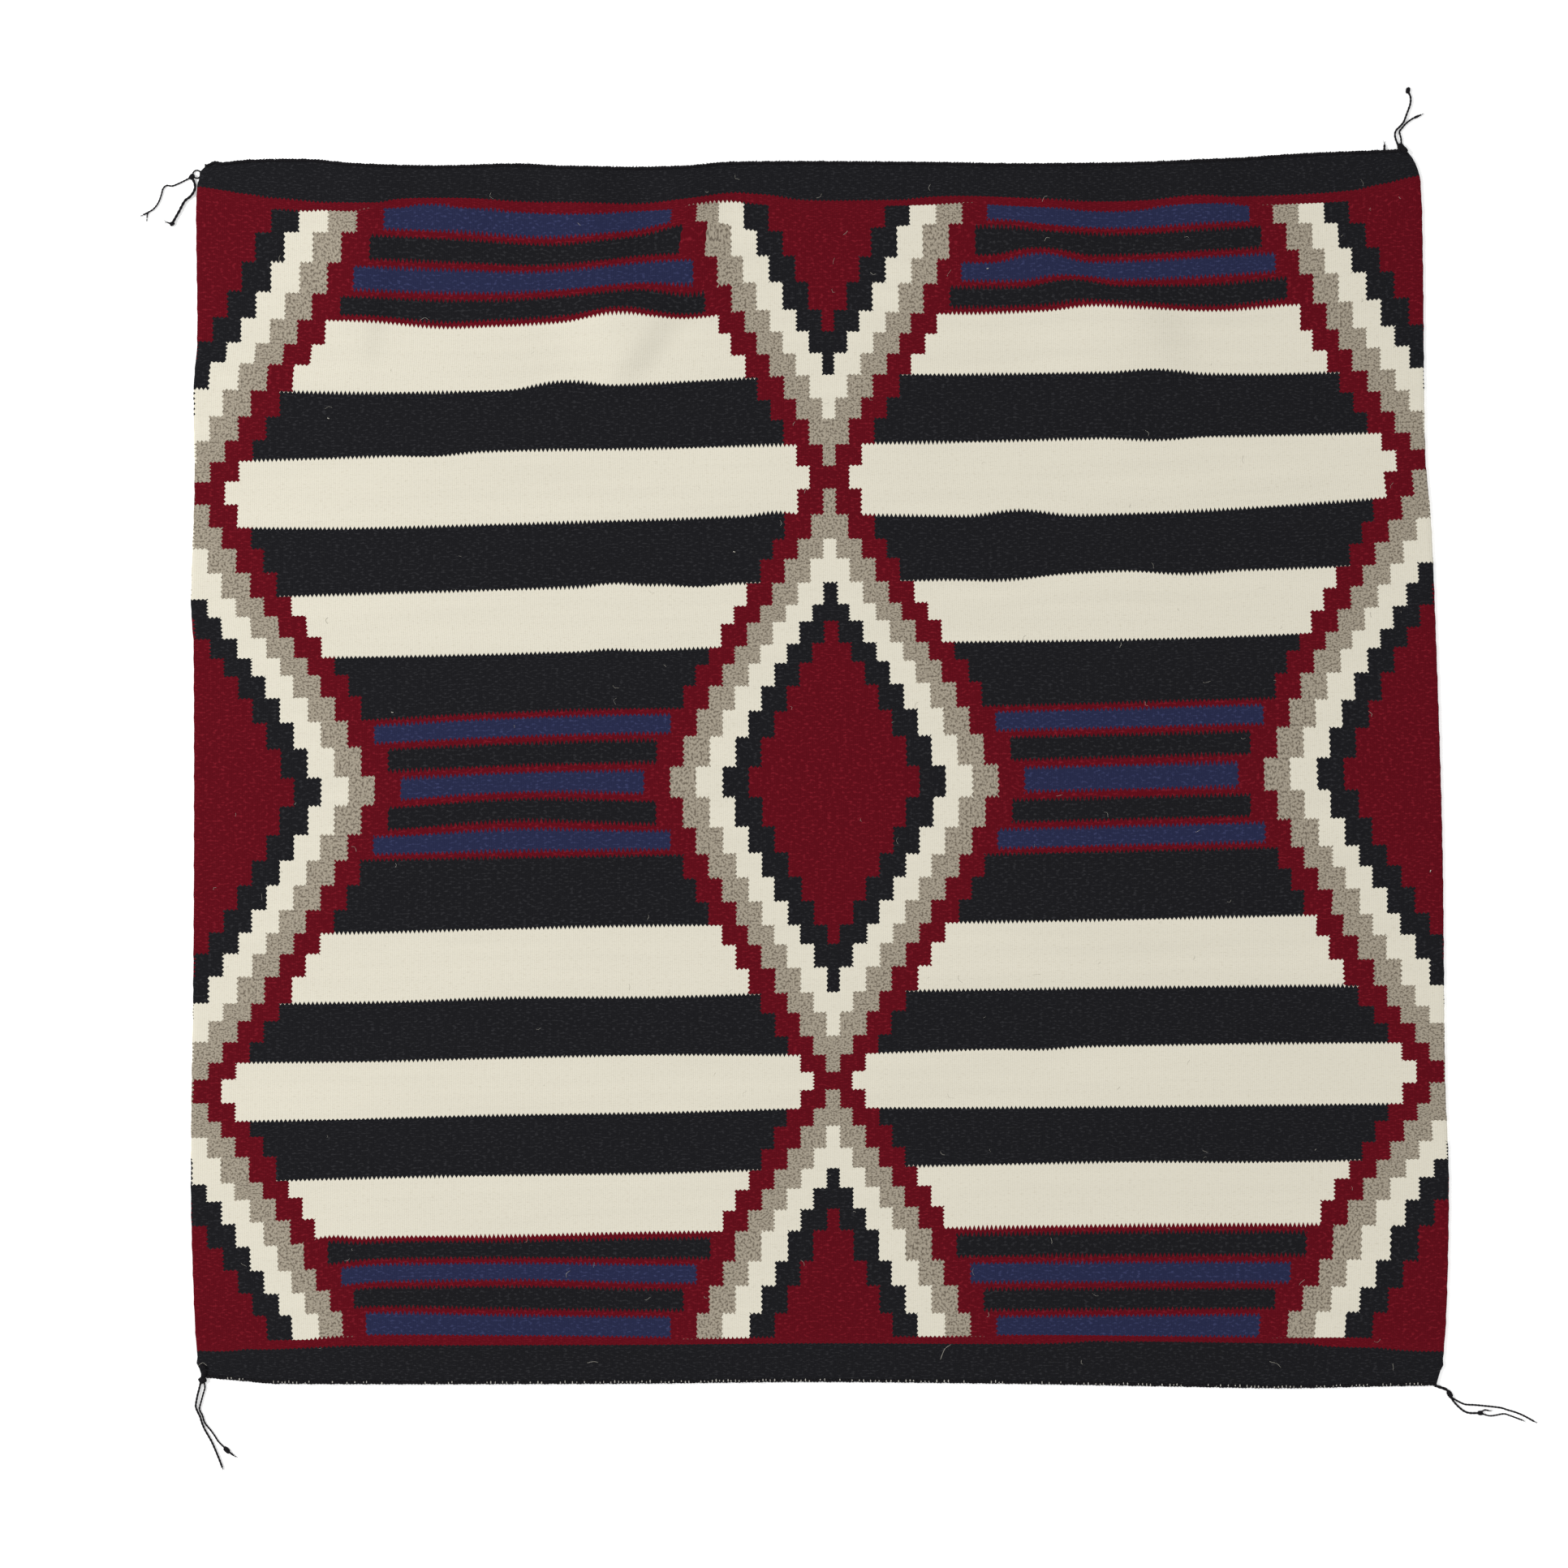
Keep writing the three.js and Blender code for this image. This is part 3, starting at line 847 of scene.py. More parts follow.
@dataclass(frozen=True)
class Columns:
    """The columns of the stepped diamonds, counted from the nearest diamond's middle.

    At the nudges they are narrower or wider than beside them. A nudge's size is in columns.
    """

    left: SideColumns = SideColumns()
    right: SideColumns = SideColumns(
        widths=(0.0162, 0.0155, 0.0162, 0.0162), narrowing=(0.000027, 0.000036, 0.000117, 0.000117)
    )
    heights: tuple[float, ...] = (-0.617, -0.340, -0.011, 0.235, 0.325, 0.614)
    middle: tuple[float, ...] = (0.0173, 0.0165, 0.0180, 0.0131, 0.0125, 0.0095)
    widths: tuple[float, ...] = (0.01445, 0.01445, 0.01458, 0.01415, 0.01430, 0.01422)
    nudges: tuple[Swell, ...] = (
        # x, y, half width, half height and size
        Swell(-0.148, 0.630, 0.055, 0.060, 0.55),
        Swell(0.590, 0.635, 0.060, 0.060, -0.16),
        Swell(0.569, -0.202, 0.046, 0.080, -0.26),
    )

    def column_at(self, x: np.ndarray, y: np.ndarray) -> np.ndarray:
        """Count columns out from the nearest of the left, middle and right diamonds.

        Args:
            x: X of each place.
            y: Y of each place.

        Returns:
            The column at each place, with the share of that column already passed.
        """
        aside = np.abs(x - np.interp(y, self.heights, self.middle))
        even = np.minimum.reduce([
            self.left.count(x - OUTLINE.left.at(y), y),
            aside / np.interp(y, self.heights, self.widths) + 0.5,
            self.right.count(OUTLINE.right.at(y) - x, y),
        ])
        return even + sum(nudge.at(x, y) for nudge in self.nudges)


@dataclass(frozen=True)
class Crease:
    """A short soft ridge in the web: its crest's middle, half sizes, heading in degrees and height.

    The side that faces the key light slopes more gently, by a factor.
    """

    x: float
    y: float
    half_width: float
    half_length: float
    heading: float
    height: float
    gentle: float = 2.6

    def rise(self, x: np.ndarray, y: np.ndarray) -> np.ndarray:
        """How far the ridge lifts the cloth at each place."""
        turn = math.radians(self.heading)
        along = (x - self.x) * math.cos(turn) + (y - self.y) * math.sin(turn)
        aside = (y - self.y) * math.cos(turn) - (x - self.x) * math.sin(turn)
        aside /= np.where(aside > 0, self.gentle, 1) * self.half_width
        return self.height * hump(along / self.half_length, aside)


@dataclass
class Web:
    """The tapestry web: one closed sheet with rounded edges, laid into the outline.

    The turned wefts make its sides uneven, in waves of so many radians a metre, which fade within a
    few warps. The long waves make its thickness uneven.
    """

    columns: int = 208
    rows: int = 204
    rim: float = 0.0011
    rim_steps: int = 3
    turned_wefts: float = 0.0004
    turned_waves: tuple[float, float] = (290, 97)
    turned_fade: int = 61
    long_waves: int = 9
    undulation: float = 0.00022
    seed: int = 3
    creases: tuple[Crease, ...] = (
        # x, y, half width, half length, heading and height
        Crease(-0.202, 0.482, 0.040, 0.100, 52, 0.0054),
        Crease(-0.501, 0.515, 0.030, 0.100, 80, 0.0026),
        Crease(0.358, 0.495, 0.060, 0.110, 112, 0.0048),
        Crease(-0.395, 0.600, 0.040, 0.080, 96, 0.0014),
    )
    pattern_rows: Rows = Rows()
    pattern_columns: Columns = Columns()

    def shape(self) -> bmesh.types.BMesh:
        """Lay a grid into the outline, give it its thickness and round its rim.

        Returns:
            The web's shape.
        """
        bm = bmesh.new()
        bmesh.ops.create_grid(bm, x_segments=self.columns, y_segments=self.rows, size=0.5)
        grown = bmesh.ops.extrude_face_region(bm, geom=bm.faces[:])["geom"]
        upper = [part for part in grown if isinstance(part, bmesh.types.BMVert)]
        bmesh.ops.translate(bm, verts=upper, vec=(0, 0, 1))
        bmesh.ops.recalc_face_normals(bm, faces=bm.faces[:])
        unit = np.array([vert.co for vert in bm.verts])
        x, y = OUTLINE.place(unit[:, 0] + 0.5, unit[:, 1] + 0.5)
        quick, slow = self.turned_waves
        turned = (2 * unit[:, 0]) ** self.turned_fade * np.sin(quick * y) * np.sin(slow * y + x)
        x += self.turned_wefts * turned
        z = OUTLINE.lift(x, y) + unit[:, 2] * (WEB_THICKNESS + self.uneven_top(x, y))
        z += sum(crease.rise(x, y) for crease in self.creases)
        for vert, spot in zip(bm.verts, np.column_stack((x, y, z))):
            vert.co = spot
        rim = [e for e in bm.edges if len({round(abs(f.normal.z)) for f in e.link_faces}) == 2]
        bmesh.ops.bevel(
            bm, geom=rim, offset=self.rim, segments=self.rim_steps, profile=0.5, affect="EDGES", material=-1
        )
        return bm

    def uneven_top(self, x: np.ndarray, y: np.ndarray) -> np.ndarray:
        """How the cloth's thickness wanders: a few long, low waves."""
        draw = random.Random(self.seed)
        total = np.zeros_like(x)
        for _ in range(self.long_waves):
            across, along, start = draw.uniform(-50, 50), draw.uniform(-70, 70), draw.uniform(0, 6.28)
            total += np.sin(across * x + along * y + start)
        return total * self.undulation / self.long_waves

    def build(self, material: bpy.types.Material) -> bpy.types.Object:
        """Make the web, with the places that its pattern and weave are read from.

        Args:
            material: The web's finish.

        Returns:
            The piece.
        """
        piece = new_piece("rug_web", self.shape(), material)
        x, y, _ = points_of(piece).T
        row = self.pattern_rows.row_at(x, y)
        width = OUTLINE.right.at(y) - OUTLINE.left.at(y)
        warp = (x - OUTLINE.left.at(y)) / width * WARP_COUNT + SPARE_WARPS
        weft = (row + SPARE_ROWS) * WEFTS_PER_ROW
        none = np.zeros_like(x)
        keep_vectors(piece, "draft", np.column_stack((self.pattern_columns.column_at(x, y), row, none)))
        keep_vectors(piece, "weave", np.column_stack((warp, weft, none)))
        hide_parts("web")
        return piece


class YarnWork:
    """Yarns and knots that are joined into one piece."""

    def __init__(self) -> None:
        """Start with nothing."""
        self.bm = self.new_part()

    @staticmethod
    def new_part() -> bmesh.types.BMesh:
        """Start a part, with the layer that the yarn's finish reads."""
        part = bmesh.new()
        part.verts.layers.float_vector.new("ply")
        return part

    def join(self, part: bmesh.types.BMesh) -> None:
        """Join a part to the work. The part is freed."""
        bmesh.ops.recalc_face_normals(part, faces=part.faces[:])
        mesh = bpy.data.meshes.new("part")
        part.to_mesh(mesh)
        part.free()
        self.bm.from_mesh(mesh)
        bpy.data.meshes.remove(mesh)


@dataclass(frozen=True)
class Rope:
    """Yarn of a few plies that are twisted together."""

    radius: float
    plies: int = 2
    lay: float = 0.0065
    sides: int = 10
    step: float = 0.0007
    groove: float = 0.26

    def part(self, length: float, place: Place) -> bmesh.types.BMesh:
        """Roll a grid into a twisted yarn and bend it into its place.

        Args:
            length: The yarn's length.
            place: Gives the places of points on the straight yarn, which runs along X.

        Returns:
            The yarn, closed at both ends.
        """
        part = YarnWork.new_part()
        steps = max(2, round(length / self.step))
        bmesh.ops.create_grid(part, x_segments=steps, y_segments=self.sides, size=0.5)
        flat = np.array([vert.co for vert in part.verts])
        along, angle = (flat[:, 0] + 0.5) * length, (flat[:, 1] + 0.5) * math.tau
        lobes = 1 - self.groove * np.sin(self.plies * angle / 2) ** 2
        radius = self.radius * lobes
        turned = angle + math.tau * along / self.lay
        straight = np.column_stack((along, radius * np.cos(turned), radius * np.sin(turned)))
        untwisted = np.column_stack((along, radius * np.cos(angle), radius * np.sin(angle)))
        ply = part.verts.layers.float_vector["ply"]
        for vert, spot, grain in zip(part.verts, place(straight), untwisted):
            vert.co = spot
            vert[ply] = grain
        bmesh.ops.remove_doubles(part, verts=part.verts[:], dist=1e-6)
        bmesh.ops.holes_fill(part, edges=[e for e in part.edges if e.is_boundary], sides=0)
        return part


@dataclass(frozen=True)
class Route:
    """A smooth way over the floor through a few points."""

    points: tuple[tuple[float, float], ...]
    level: float
    samples_per_point: int = 12
    look: float = 0.0008

    def samples(self) -> np.ndarray:
        """Points close together on the way."""
        known = np.array(self.points)
        padded = np.vstack((2 * known[0] - known[1], known, 2 * known[-1] - known[-2]))
        parts = []
        share = np.linspace(0, 1, self.samples_per_point, endpoint=False)[:, None]
        for before, here, after, beyond in zip(padded, padded[1:], padded[2:], padded[3:]):
            leave, arrive = (after - before) / 2, (beyond - here) / 2
            parts.append(
                here
                + leave * share
                + (3 * (after - here) - 2 * leave - arrive) * share**2
                + (2 * (here - after) + leave + arrive) * share**3
            )
        return np.vstack((*parts, known[-1]))

    def measured(self) -> tuple[np.ndarray, np.ndarray]:
        """The samples, and how far along the way each is."""
        spots = self.samples()
        return spots, np.concatenate(([0], np.cumsum(np.hypot(*np.diff(spots, axis=0).T))))

    @property
    def length(self) -> float:
        """The length of the way."""
        return float(self.measured()[1][-1])

    def place(self, straight: np.ndarray) -> np.ndarray:
        """Bend points of a straight yarn onto the way.

        Args:
            straight: Points of a yarn that runs along X.

        Returns:
            Their places on the floor.
        """
        spots, run = self.measured()
        along = straight[:, 0]
        way = np.column_stack([
            np.interp(along + self.look, run, axis) - np.interp(along - self.look, run, axis)
            for axis in spots.T
        ])
        way /= np.maximum(np.linalg.norm(way, axis=1), 1e-9)[:, None]
        x = np.interp(along, run, spots[:, 0]) - way[:, 1] * straight[:, 1]
        y = np.interp(along, run, spots[:, 1]) + way[:, 0] * straight[:, 1]
        return np.column_stack((x, y, self.level + straight[:, 2]))

    def end_heading(self) -> float:
        """The angle in which the way ends."""
        spots = self.samples()
        step = spots[-1] - spots[-3]
        return math.atan2(step[1], step[0])


@dataclass(frozen=True)
class Fray:
    """Loose fibres that fan out of a yarn's cut end."""

    count: int = 6
    lengths: tuple[float, float] = (0.0025, 0.0055)
    leans: tuple[float, float] = (-0.12, 0.18)
    turns: tuple[float, float] = (-0.45, 0.45)
    root: float = 0.00026
    tip: float = 0.00006

    def add(self, work: YarnWork, end: Vector, heading: float, draw: random.Random) -> None:
        """Fan the fibres out.

        Args:
            work: The yarns that they join.
            end: The yarn's cut end.
            heading: The angle in which the yarn ends.
            draw: Where the uneven numbers come from.
        """
        for _ in range(self.count):
            length = draw.uniform(*self.lengths)
            lean = Matrix.Rotation(draw.uniform(*self.leans), 4, "Y")
            turn = Matrix.Rotation(heading + draw.uniform(*self.turns), 4, "Z")
            along_x = Matrix.Rotation(math.pi / 2, 4, "Y") @ Matrix.Translation((0, 0, length / 2))
            fibre = YarnWork.new_part()
            bmesh.ops.create_cone(
                fibre,
                cap_ends=True,
                segments=3,
                radius1=self.root,
                radius2=self.tip,
                depth=length,
                matrix=Matrix.Translation(end) @ turn @ lean @ along_x,
            )
            work.join(fibre)


@dataclass(frozen=True)
class EndCord:
    """The twined cord along one end of the web, tucked over its edge.

    A cut yarn, the stub, may stand out of it. The cord is uneven in waves of so many radians a metre.
    """

    end: End
    stub_x: float | None = None
    stub_length: float = 0.007
    stub_radius: float = 0.0014
    stub_lean: float = 0.0005
    stub_fray: Fray = Fray(count=7)
    fray_level: float = 0.0012
    rope: Rope = Rope(radius=0.0021, plies=2, lay=0.0072, sides=12, step=0.0008, groove=0.22)
    tuck: float = 0.0006
    unevenness: float = 0.0003
    waves: tuple[float, float] = (410, 93)
    seed: int = 5

    def place(self, straight: np.ndarray) -> np.ndarray:
        """Lay points of a straight yarn along the web's end."""
        length = self.length()
        across = np.clip(straight[:, 0] / length, 0, 1)
        x, y = OUTLINE.place(across, np.full_like(across, float(self.end.value)))
        out = self.end.outward * (SEAM_GAP + CORD_WIDTH / 2 - self.tuck)
        quick, slow = self.waves
        wave = self.unevenness * np.sin(quick * x) * np.sin(slow * x + 1)
        level = OUTLINE.lift(x, y) + self.rope.radius
        return np.column_stack((x, y + out + straight[:, 1] + wave, level + straight[:, 2]))

    def length(self) -> float:
        """The length of the web's end."""
        x, y = OUTLINE.place(np.linspace(0, 1, 300), np.full(300, float(self.end.value)))
        return float(np.hypot(np.diff(x), np.diff(y)).sum())

    def build(self, material: bpy.types.Material) -> bpy.types.Object:
        """Make the cord, and the cut yarn that stands out of it if it has one.

        Args:
            material: The cord's finish.

        Returns:
            The piece.
        """
        work = YarnWork()
        work.join(self.rope.part(self.length(), self.place))
        if self.stub_x is not None:
            edge = float(OUTLINE.top.at(np.array(self.stub_x)))
            root = (self.stub_x, edge - CORD_WIDTH / 2)
            tip = (self.stub_x + self.stub_lean, edge + self.stub_length)
            way = Route((root, tip), self.stub_radius)
            work.join(Rope(radius=self.stub_radius).part(way.length, way.place))
            cut = Vector((*tip, self.fray_level))
            self.stub_fray.add(work, cut, way.end_heading(), random.Random(self.seed))
        piece = new_piece(f"rug_cord_{self.end.name.lower()}", work.bm, material)
        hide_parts(f"end_cord_{self.end.name.lower()}")
        return piece


@dataclass(frozen=True)
class WarpLoops:
    """The loops of the warps, where they turn round the cord at one end of the web.

    They are set at the pitch, with a little scatter. How many show wanders from patch to patch.
    """

    end: End
    first: float
    last: float
    shown: float
    rise: float
    reach: tuple[float, float]
    pitch: float = 0.0043
    scatter: float = 0.0006
    patchiness: float = 0.22
    patches: tuple[float, float] = (0.3, 1.1)
    half_widths: tuple[float, float] = (0.0004, 0.0007)
    half_lengths: tuple[float, float] = (0.0010, 0.0020)
    half_height: float = 0.0006
    seed: int = 11

    def build(self, material: bpy.types.Material) -> bpy.types.Object:
        """Make the loops as small beads that reach from the web over the cord.

        Args:
            material: The loops' finish.

        Returns:
            The piece.
        """
        work = YarnWork()
        draw = random.Random(self.seed)
        patch = 1.0
        for x in np.arange(self.first, self.last, self.pitch):
            patch += draw.uniform(-self.patchiness, self.patchiness)
            patch = min(max(patch, self.patches[0]), self.patches[1])
            if draw.random() > self.shown * patch:
                continue
            spot = x + draw.uniform(-self.scatter, self.scatter)
            edge = float(OUTLINE.web_end(np.array(spot), self.end))
            lift = float(OUTLINE.lift(np.array(spot), np.array(edge)))
            size = (draw.uniform(*self.half_widths), draw.uniform(*self.half_lengths), self.half_height)
            middle = edge + self.end.outward * draw.uniform(*self.reach)
            shape = Matrix.LocRotScale(Vector((spot, middle, lift + self.rise)), None, Vector(size))
            loop = YarnWork.new_part()
            bmesh.ops.create_uvsphere(loop, u_segments=6, v_segments=4, radius=1, matrix=shape)
            ply = loop.verts.layers.float_vector["ply"]
            for vert in loop.verts:
                vert[ply] = vert.co
            work.join(loop)
        return new_piece(f"rug_warp_loops_{self.end.name.lower()}", work.bm, material)


@dataclass(frozen=True)
class Hair:
    """A loose fibre on the cloth: its middle, its length, its heading in degrees and its bend."""

    x: float
    y: float
    length: float
    heading: float
    bend: float = 0.3


@dataclass(frozen=True)
class Lint:
    """Pale fibres and specks that cling to the dark wool.

    The hairs and specks lie where the photograph shows them. A few fibres are scattered over the
    whole web. A fibre's curve holds shares of its length along it, and beside it when the bend is one.
    """

    scattered: int = 150
    scattered_lengths: tuple[float, float] = (0.002, 0.009)
    scattered_over: tuple[float, float] = (0.67, 0.66)
    fibre: float = 0.00010
    hair_fibres: float = 1.6
    speck_fibres: float = 5.0
    speck_length: float = 0.0022
    curve: tuple[tuple[float, float], ...] = ((-0.5, 0), (-0.2, 0.12), (0.15, 0.2), (0.5, -0.1))
    seed: int = 23
    hairs: tuple[Hair, ...] = (
        Hair(x=-0.414, y=0.589, length=0.014, heading=-45, bend=0.5),
        Hair(x=0.141, y=-0.643, length=0.020, heading=58, bend=0.5),
        Hair(x=0.507, y=-0.657, length=0.014, heading=-25, bend=0.5),
        Hair(x=-0.683, y=-0.658, length=0.010, heading=10, bend=1.3),
        Hair(x=-0.250, y=-0.655, length=0.012, heading=5, bend=0.4),
    )
    specks: tuple[tuple[float, float], ...] = (
        (-0.093, 0.244), (-0.472, 0.066), (-0.543, 0.392),
        (0.188, 0.558), (0.320, 0.416), (0.679, -0.110),
    )

    def add_hair(self, work: YarnWork, hair: Hair, thickness: float) -> None:
        """Lay one fibre on the cloth."""
        turn = math.radians(hair.heading)
        ahead = np.array((math.cos(turn), math.sin(turn)))
        aside = np.array((-math.sin(turn), math.cos(turn)))
        along, beside = np.array(self.curve).T[:, :, None] * hair.length
        place = along * ahead + beside * hair.bend * aside + (hair.x, hair.y)
        lift = float(OUTLINE.lift(np.array(hair.x), np.array(hair.y)))
        route = Route(tuple(map(tuple, place)), lift + WEB_THICKNESS + 1.5 * thickness)
        fibre = Rope(radius=thickness, lay=0.01, sides=4, step=hair.length / 8, groove=0.0)
        work.join(fibre.part(route.length, route.place))

    def build(self, material: bpy.types.Material) -> bpy.types.Object:
        """Make the lint.

        Args:
            material: The fibres' finish.

        Returns:
            The piece.
        """
        work = YarnWork()
        draw = random.Random(self.seed)
        for hair in self.hairs:
            self.add_hair(work, hair, self.hair_fibres * self.fibre)
        for x, y in self.specks:
            speck = Hair(x, y, self.speck_length, draw.uniform(0, 180))
            self.add_hair(work, speck, self.speck_fibres * self.fibre)
        for _ in range(self.scattered):
            x, y = (draw.uniform(-side, side) for side in self.scattered_over)
            length = draw.uniform(*self.scattered_lengths)
            hair = Hair(x, y, length, draw.uniform(0, 360), draw.uniform(-1.5, 1.5))
            self.add_hair(work, hair, self.fibre * draw.uniform(0.7, 1.3))
        return new_piece("rug_lint", work.bm, material)


@dataclass(frozen=True)
class Knot:
    """A knot in a tassel: its place from the head, its half sizes, its height and its turn in degrees.

    Its yarn is wound on a ball of one unit, which is then brought to its size.
    """

    x: float
    y: float
    long: float
    wide: float
    high: float
    turn: float
    windings: float = 2.7
    pitch_radius: float = 0.62
    core: float = 0.84
    yarn: Rope = Rope(radius=0.34, lay=1.3, sides=8, step=0.12, groove=0.2)

    def add(self, work: YarnWork, head: tuple[float, float]) -> None:
        """Wind a few turns of yarn round a core.

        Args:
            work: The yarns that the knot joins.
            head: The tassel's head.
        """
        size = Matrix.Diagonal((self.long * MM, self.wide * MM, self.high * MM / 2, 1.0))
        turn = Matrix.Rotation(math.radians(self.turn), 4, "Z")
        middle = Matrix.Translation(Vector((head[0] + self.x, head[1] + self.y, self.high / 2)) * MM)
        core = YarnWork.new_part()
        bmesh.ops.create_icosphere(core, subdivisions=2, radius=self.core)
        coil = self.yarn.part(self.windings * math.tau * self.pitch_radius, self.wound)
        for part in (core, coil):
            ply = part.verts.layers.float_vector["ply"]
            for vert in part.verts:
                vert[ply] = vert.co * self.wide * MM
            bmesh.ops.transform(part, matrix=middle @ turn @ size, verts=part.verts[:])
            work.join(part)

    def wound(self, straight: np.ndarray) -> np.ndarray:
        """Wind points of a straight yarn into a coil round X that leans a little.

        Args:
            straight: Points of a yarn that runs along X.

        Returns:
            Their places, where the knot reaches about one unit from its middle.
        """
        angle = straight[:, 0] / self.pitch_radius
        share = angle / (self.windings * math.tau) - 0.5
        reach = 0.64 - 0.5 * share**2 + straight[:, 1]
        along = share * 1.15 + 0.22 * np.sin(angle) + straight[:, 2]
        return np.column_stack((along, reach * np.cos(angle), reach * np.sin(angle)))


@dataclass(frozen=True)
class Strand:
    """One yarn of a tassel: its width and its points from the head, and whether its end is loose."""

    width: float
    points: tuple[tuple[float, float], ...]
    loose: bool = True
    fray: Fray = Fray()

    def add(self, work: YarnWork, head: tuple[float, float], draw: random.Random) -> None:
        """Lay the strand on the floor.

        Args:
            work: The yarns that it joins.
            head: The tassel's head.
            draw: Where the uneven numbers come from.
        """
        radius = self.width * MM / 2
        way = Route(tuple(((head[0] + x) * MM, (head[1] + y) * MM) for x, y in self.points), radius)
        rope = Rope(radius=radius, lay=6.4 * radius, step=0.00055)
        work.join(rope.part(way.length, way.place))
        if self.loose:
            self.fray.add(work, Vector((*way.samples()[-1], radius)), way.end_heading(), draw)


@dataclass(frozen=True)
class Tassel:
    """A corner tassel: knotted yarns that lie on the floor, and an open loop at one of the corners.

    Its measures, and those of its knots and strands, are in millimetres, and places from its head.
    """

    name: str
    head: tuple[float, float]
    knots: tuple[Knot, ...]
    strands: tuple[Strand, ...]
    loop_at: tuple[float, float] | None = None
    loop_radius: float = 4.4
    loop_yarn: float = 0.95

    def build(self, material: bpy.types.Material) -> bpy.types.Object:
        """Make the tassel as one joined piece.

        Args:
            material: The yarn's finish.

        Returns:
            The piece.
        """
        work = YarnWork()
        draw = random.Random(self.name)
        for strand in self.strands:
            strand.add(work, self.head, draw)
        for knot in self.knots:
            knot.add(work, self.head)
        if self.loop_at is not None:
            self.add_loop(work)
        piece = new_piece(f"rug_{self.name}", work.bm, material)
        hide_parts(self.name)
        return piece

    def add_loop(self, work: YarnWork) -> None:
        """Lay the open loop on the floor."""
        middle = np.add(self.head, self.loop_at)
        angles = np.radians(np.arange(0, 361, 30))
        spots = middle + self.loop_radius * np.column_stack((np.cos(angles), np.sin(angles)))
        way = Route(tuple(map(tuple, spots * MM)), self.loop_yarn * MM)
        rope = Rope(radius=self.loop_yarn * MM, lay=0.003, step=0.0005)
        work.join(rope.part(way.length, way.place))


TASSELS = (
    Tassel(
        name="tassel_top_left",
        head=(-694.7, 660),
        loop_at=(5.5, 3),
        knots=(  # x, y, long, wide, high and turn
            Knot(0, 0, 4, 3.1, 3.4, 50),
            Knot(-22, -52, 3.4, 2.6, 2.8, 30),
        ),
        strands=(
            Strand(2.1, (
                (0, 0), (-14, -7), (-22, -10), (-28, -9.5), (-32, -13),
                (-34, -20), (-37, -28), (-42, -35), (-48, -39), (-54, -42),
            )),
            Strand(1.6, ((-48, -39), (-49.5, -42), (-50, -45.5))),
            Strand(3.2, (
                (0, 0), (3, -7), (3.6, -12), (1.8, -17), (-2, -22),
                (-8, -27), (-14, -38), (-18, -45), (-22, -52),
            ), loose=False),
            Strand(2, ((-22, -52), (-27.5, -50.5))),
        ),
    ),
    Tassel(
        name="tassel_top_right",
        head=(646, 692.92),
        knots=(  # x, y, long, wide, high and turn
            Knot(0, -0.2, 4.4, 4.6, 5, 10),
            Knot(4, -3, 5.2, 3.4, 5.6, -50),
            Knot(8.4, 62.8, 4.2, 2.7, 3, 80),
            Knot(18, 33.8, 4, 1.5, 2.6, 24),
        ),
        strands=(
            Strand(2.5, (
                (-2, 1), (-5, 8.5), (-6, 14), (-4.5, 19), (-0.5, 23),
                (3.6, 28), (6, 34), (8.6, 41), (11, 48), (11.3, 55.5),
                (9, 61),
            )),
            Strand(2.3, (
                (1.2, 1), (0.8, 9), (-0.4, 14), (-0.9, 17.4), (1.7, 21),
                (5.9, 26), (9.8, 29.2), (14, 32), (18.5, 34), (23, 36),
            )),
        ),
    ),
    Tassel(
        name="tassel_bottom_left",
        head=(-683, -674.3),
        knots=(  # x, y, long, wide, high and turn
            Knot(0.2, -0.4, 5.2, 4.2, 4.2, 25),
            Knot(2.1, 6.6, 5.2, 3.2, 5.8, 72),
            Knot(0.8, 15, 4, 2, 6.6, -20),
            Knot(27, -78, 5, 3, 3, -45),
        ),
        strands=(
            Strand(2.6, (
                (-1.4, -1), (-3.2, -8.5), (-5.4, -17), (-7, -25),
                (-7.4, -30), (-5.4, -35.5), (-2.7, -41), (-0.5, -48),
                (2.7, -55.5), (7, -63), (11.3, -71), (18.5, -88), (22, -97.5),
            )),
            Strand(2.2, (
                (1.4, -1), (2.7, -8.5), (1, -15), (-1.4, -24),
                (-3.2, -31), (-2.7, -34.6), (-0.1, -39.6), (2.2, -47),
                (5.4, -51.7), (9.5, -56.6), (14, -63), (18, -69), (27, -78),
            ), loose=False),
            Strand(2.4, ((27, -78), (35, -84.5))),
        ),
    ),
    Tassel(
        name="tassel_bottom_right",
        head=(700.7, -690.3),
        knots=(  # x, y, long, wide, high and turn
            Knot(0, 0, 5, 3.1, 3.4, -60),
            Knot(34, -21, 3.4, 2.8, 3, 0),
        ),
        strands=(
            Strand(3.6, (
                (-16.5, 9.5), (-9.5, 7.2), (-3.4, 4.8), (0, 0),
            ), loose=False),
            Strand(2.3, (
                (0, 0), (3.4, -4.4), (13, -10), (19, -11.7), (30, -12.3),
                (55, -15), (64, -17.6), (73, -20.3), (82, -24), (94, -30.6),
            )),
            Strand(2.6, (
                (0, 0), (2.6, -5.6), (6.8, -11), (11.3, -15.4), (16, -19),
                (22, -21), (34, -21),
            ), loose=False),
            Strand(2, ((34, -21), (38.7, -17.8), (43.7, -18.5))),
            Strand(2, (
                (34, -21), (43, -24), (50, -23.7), (60, -22), (67, -24),
                (80.5, -29),
            )),
        ),
    ),
)


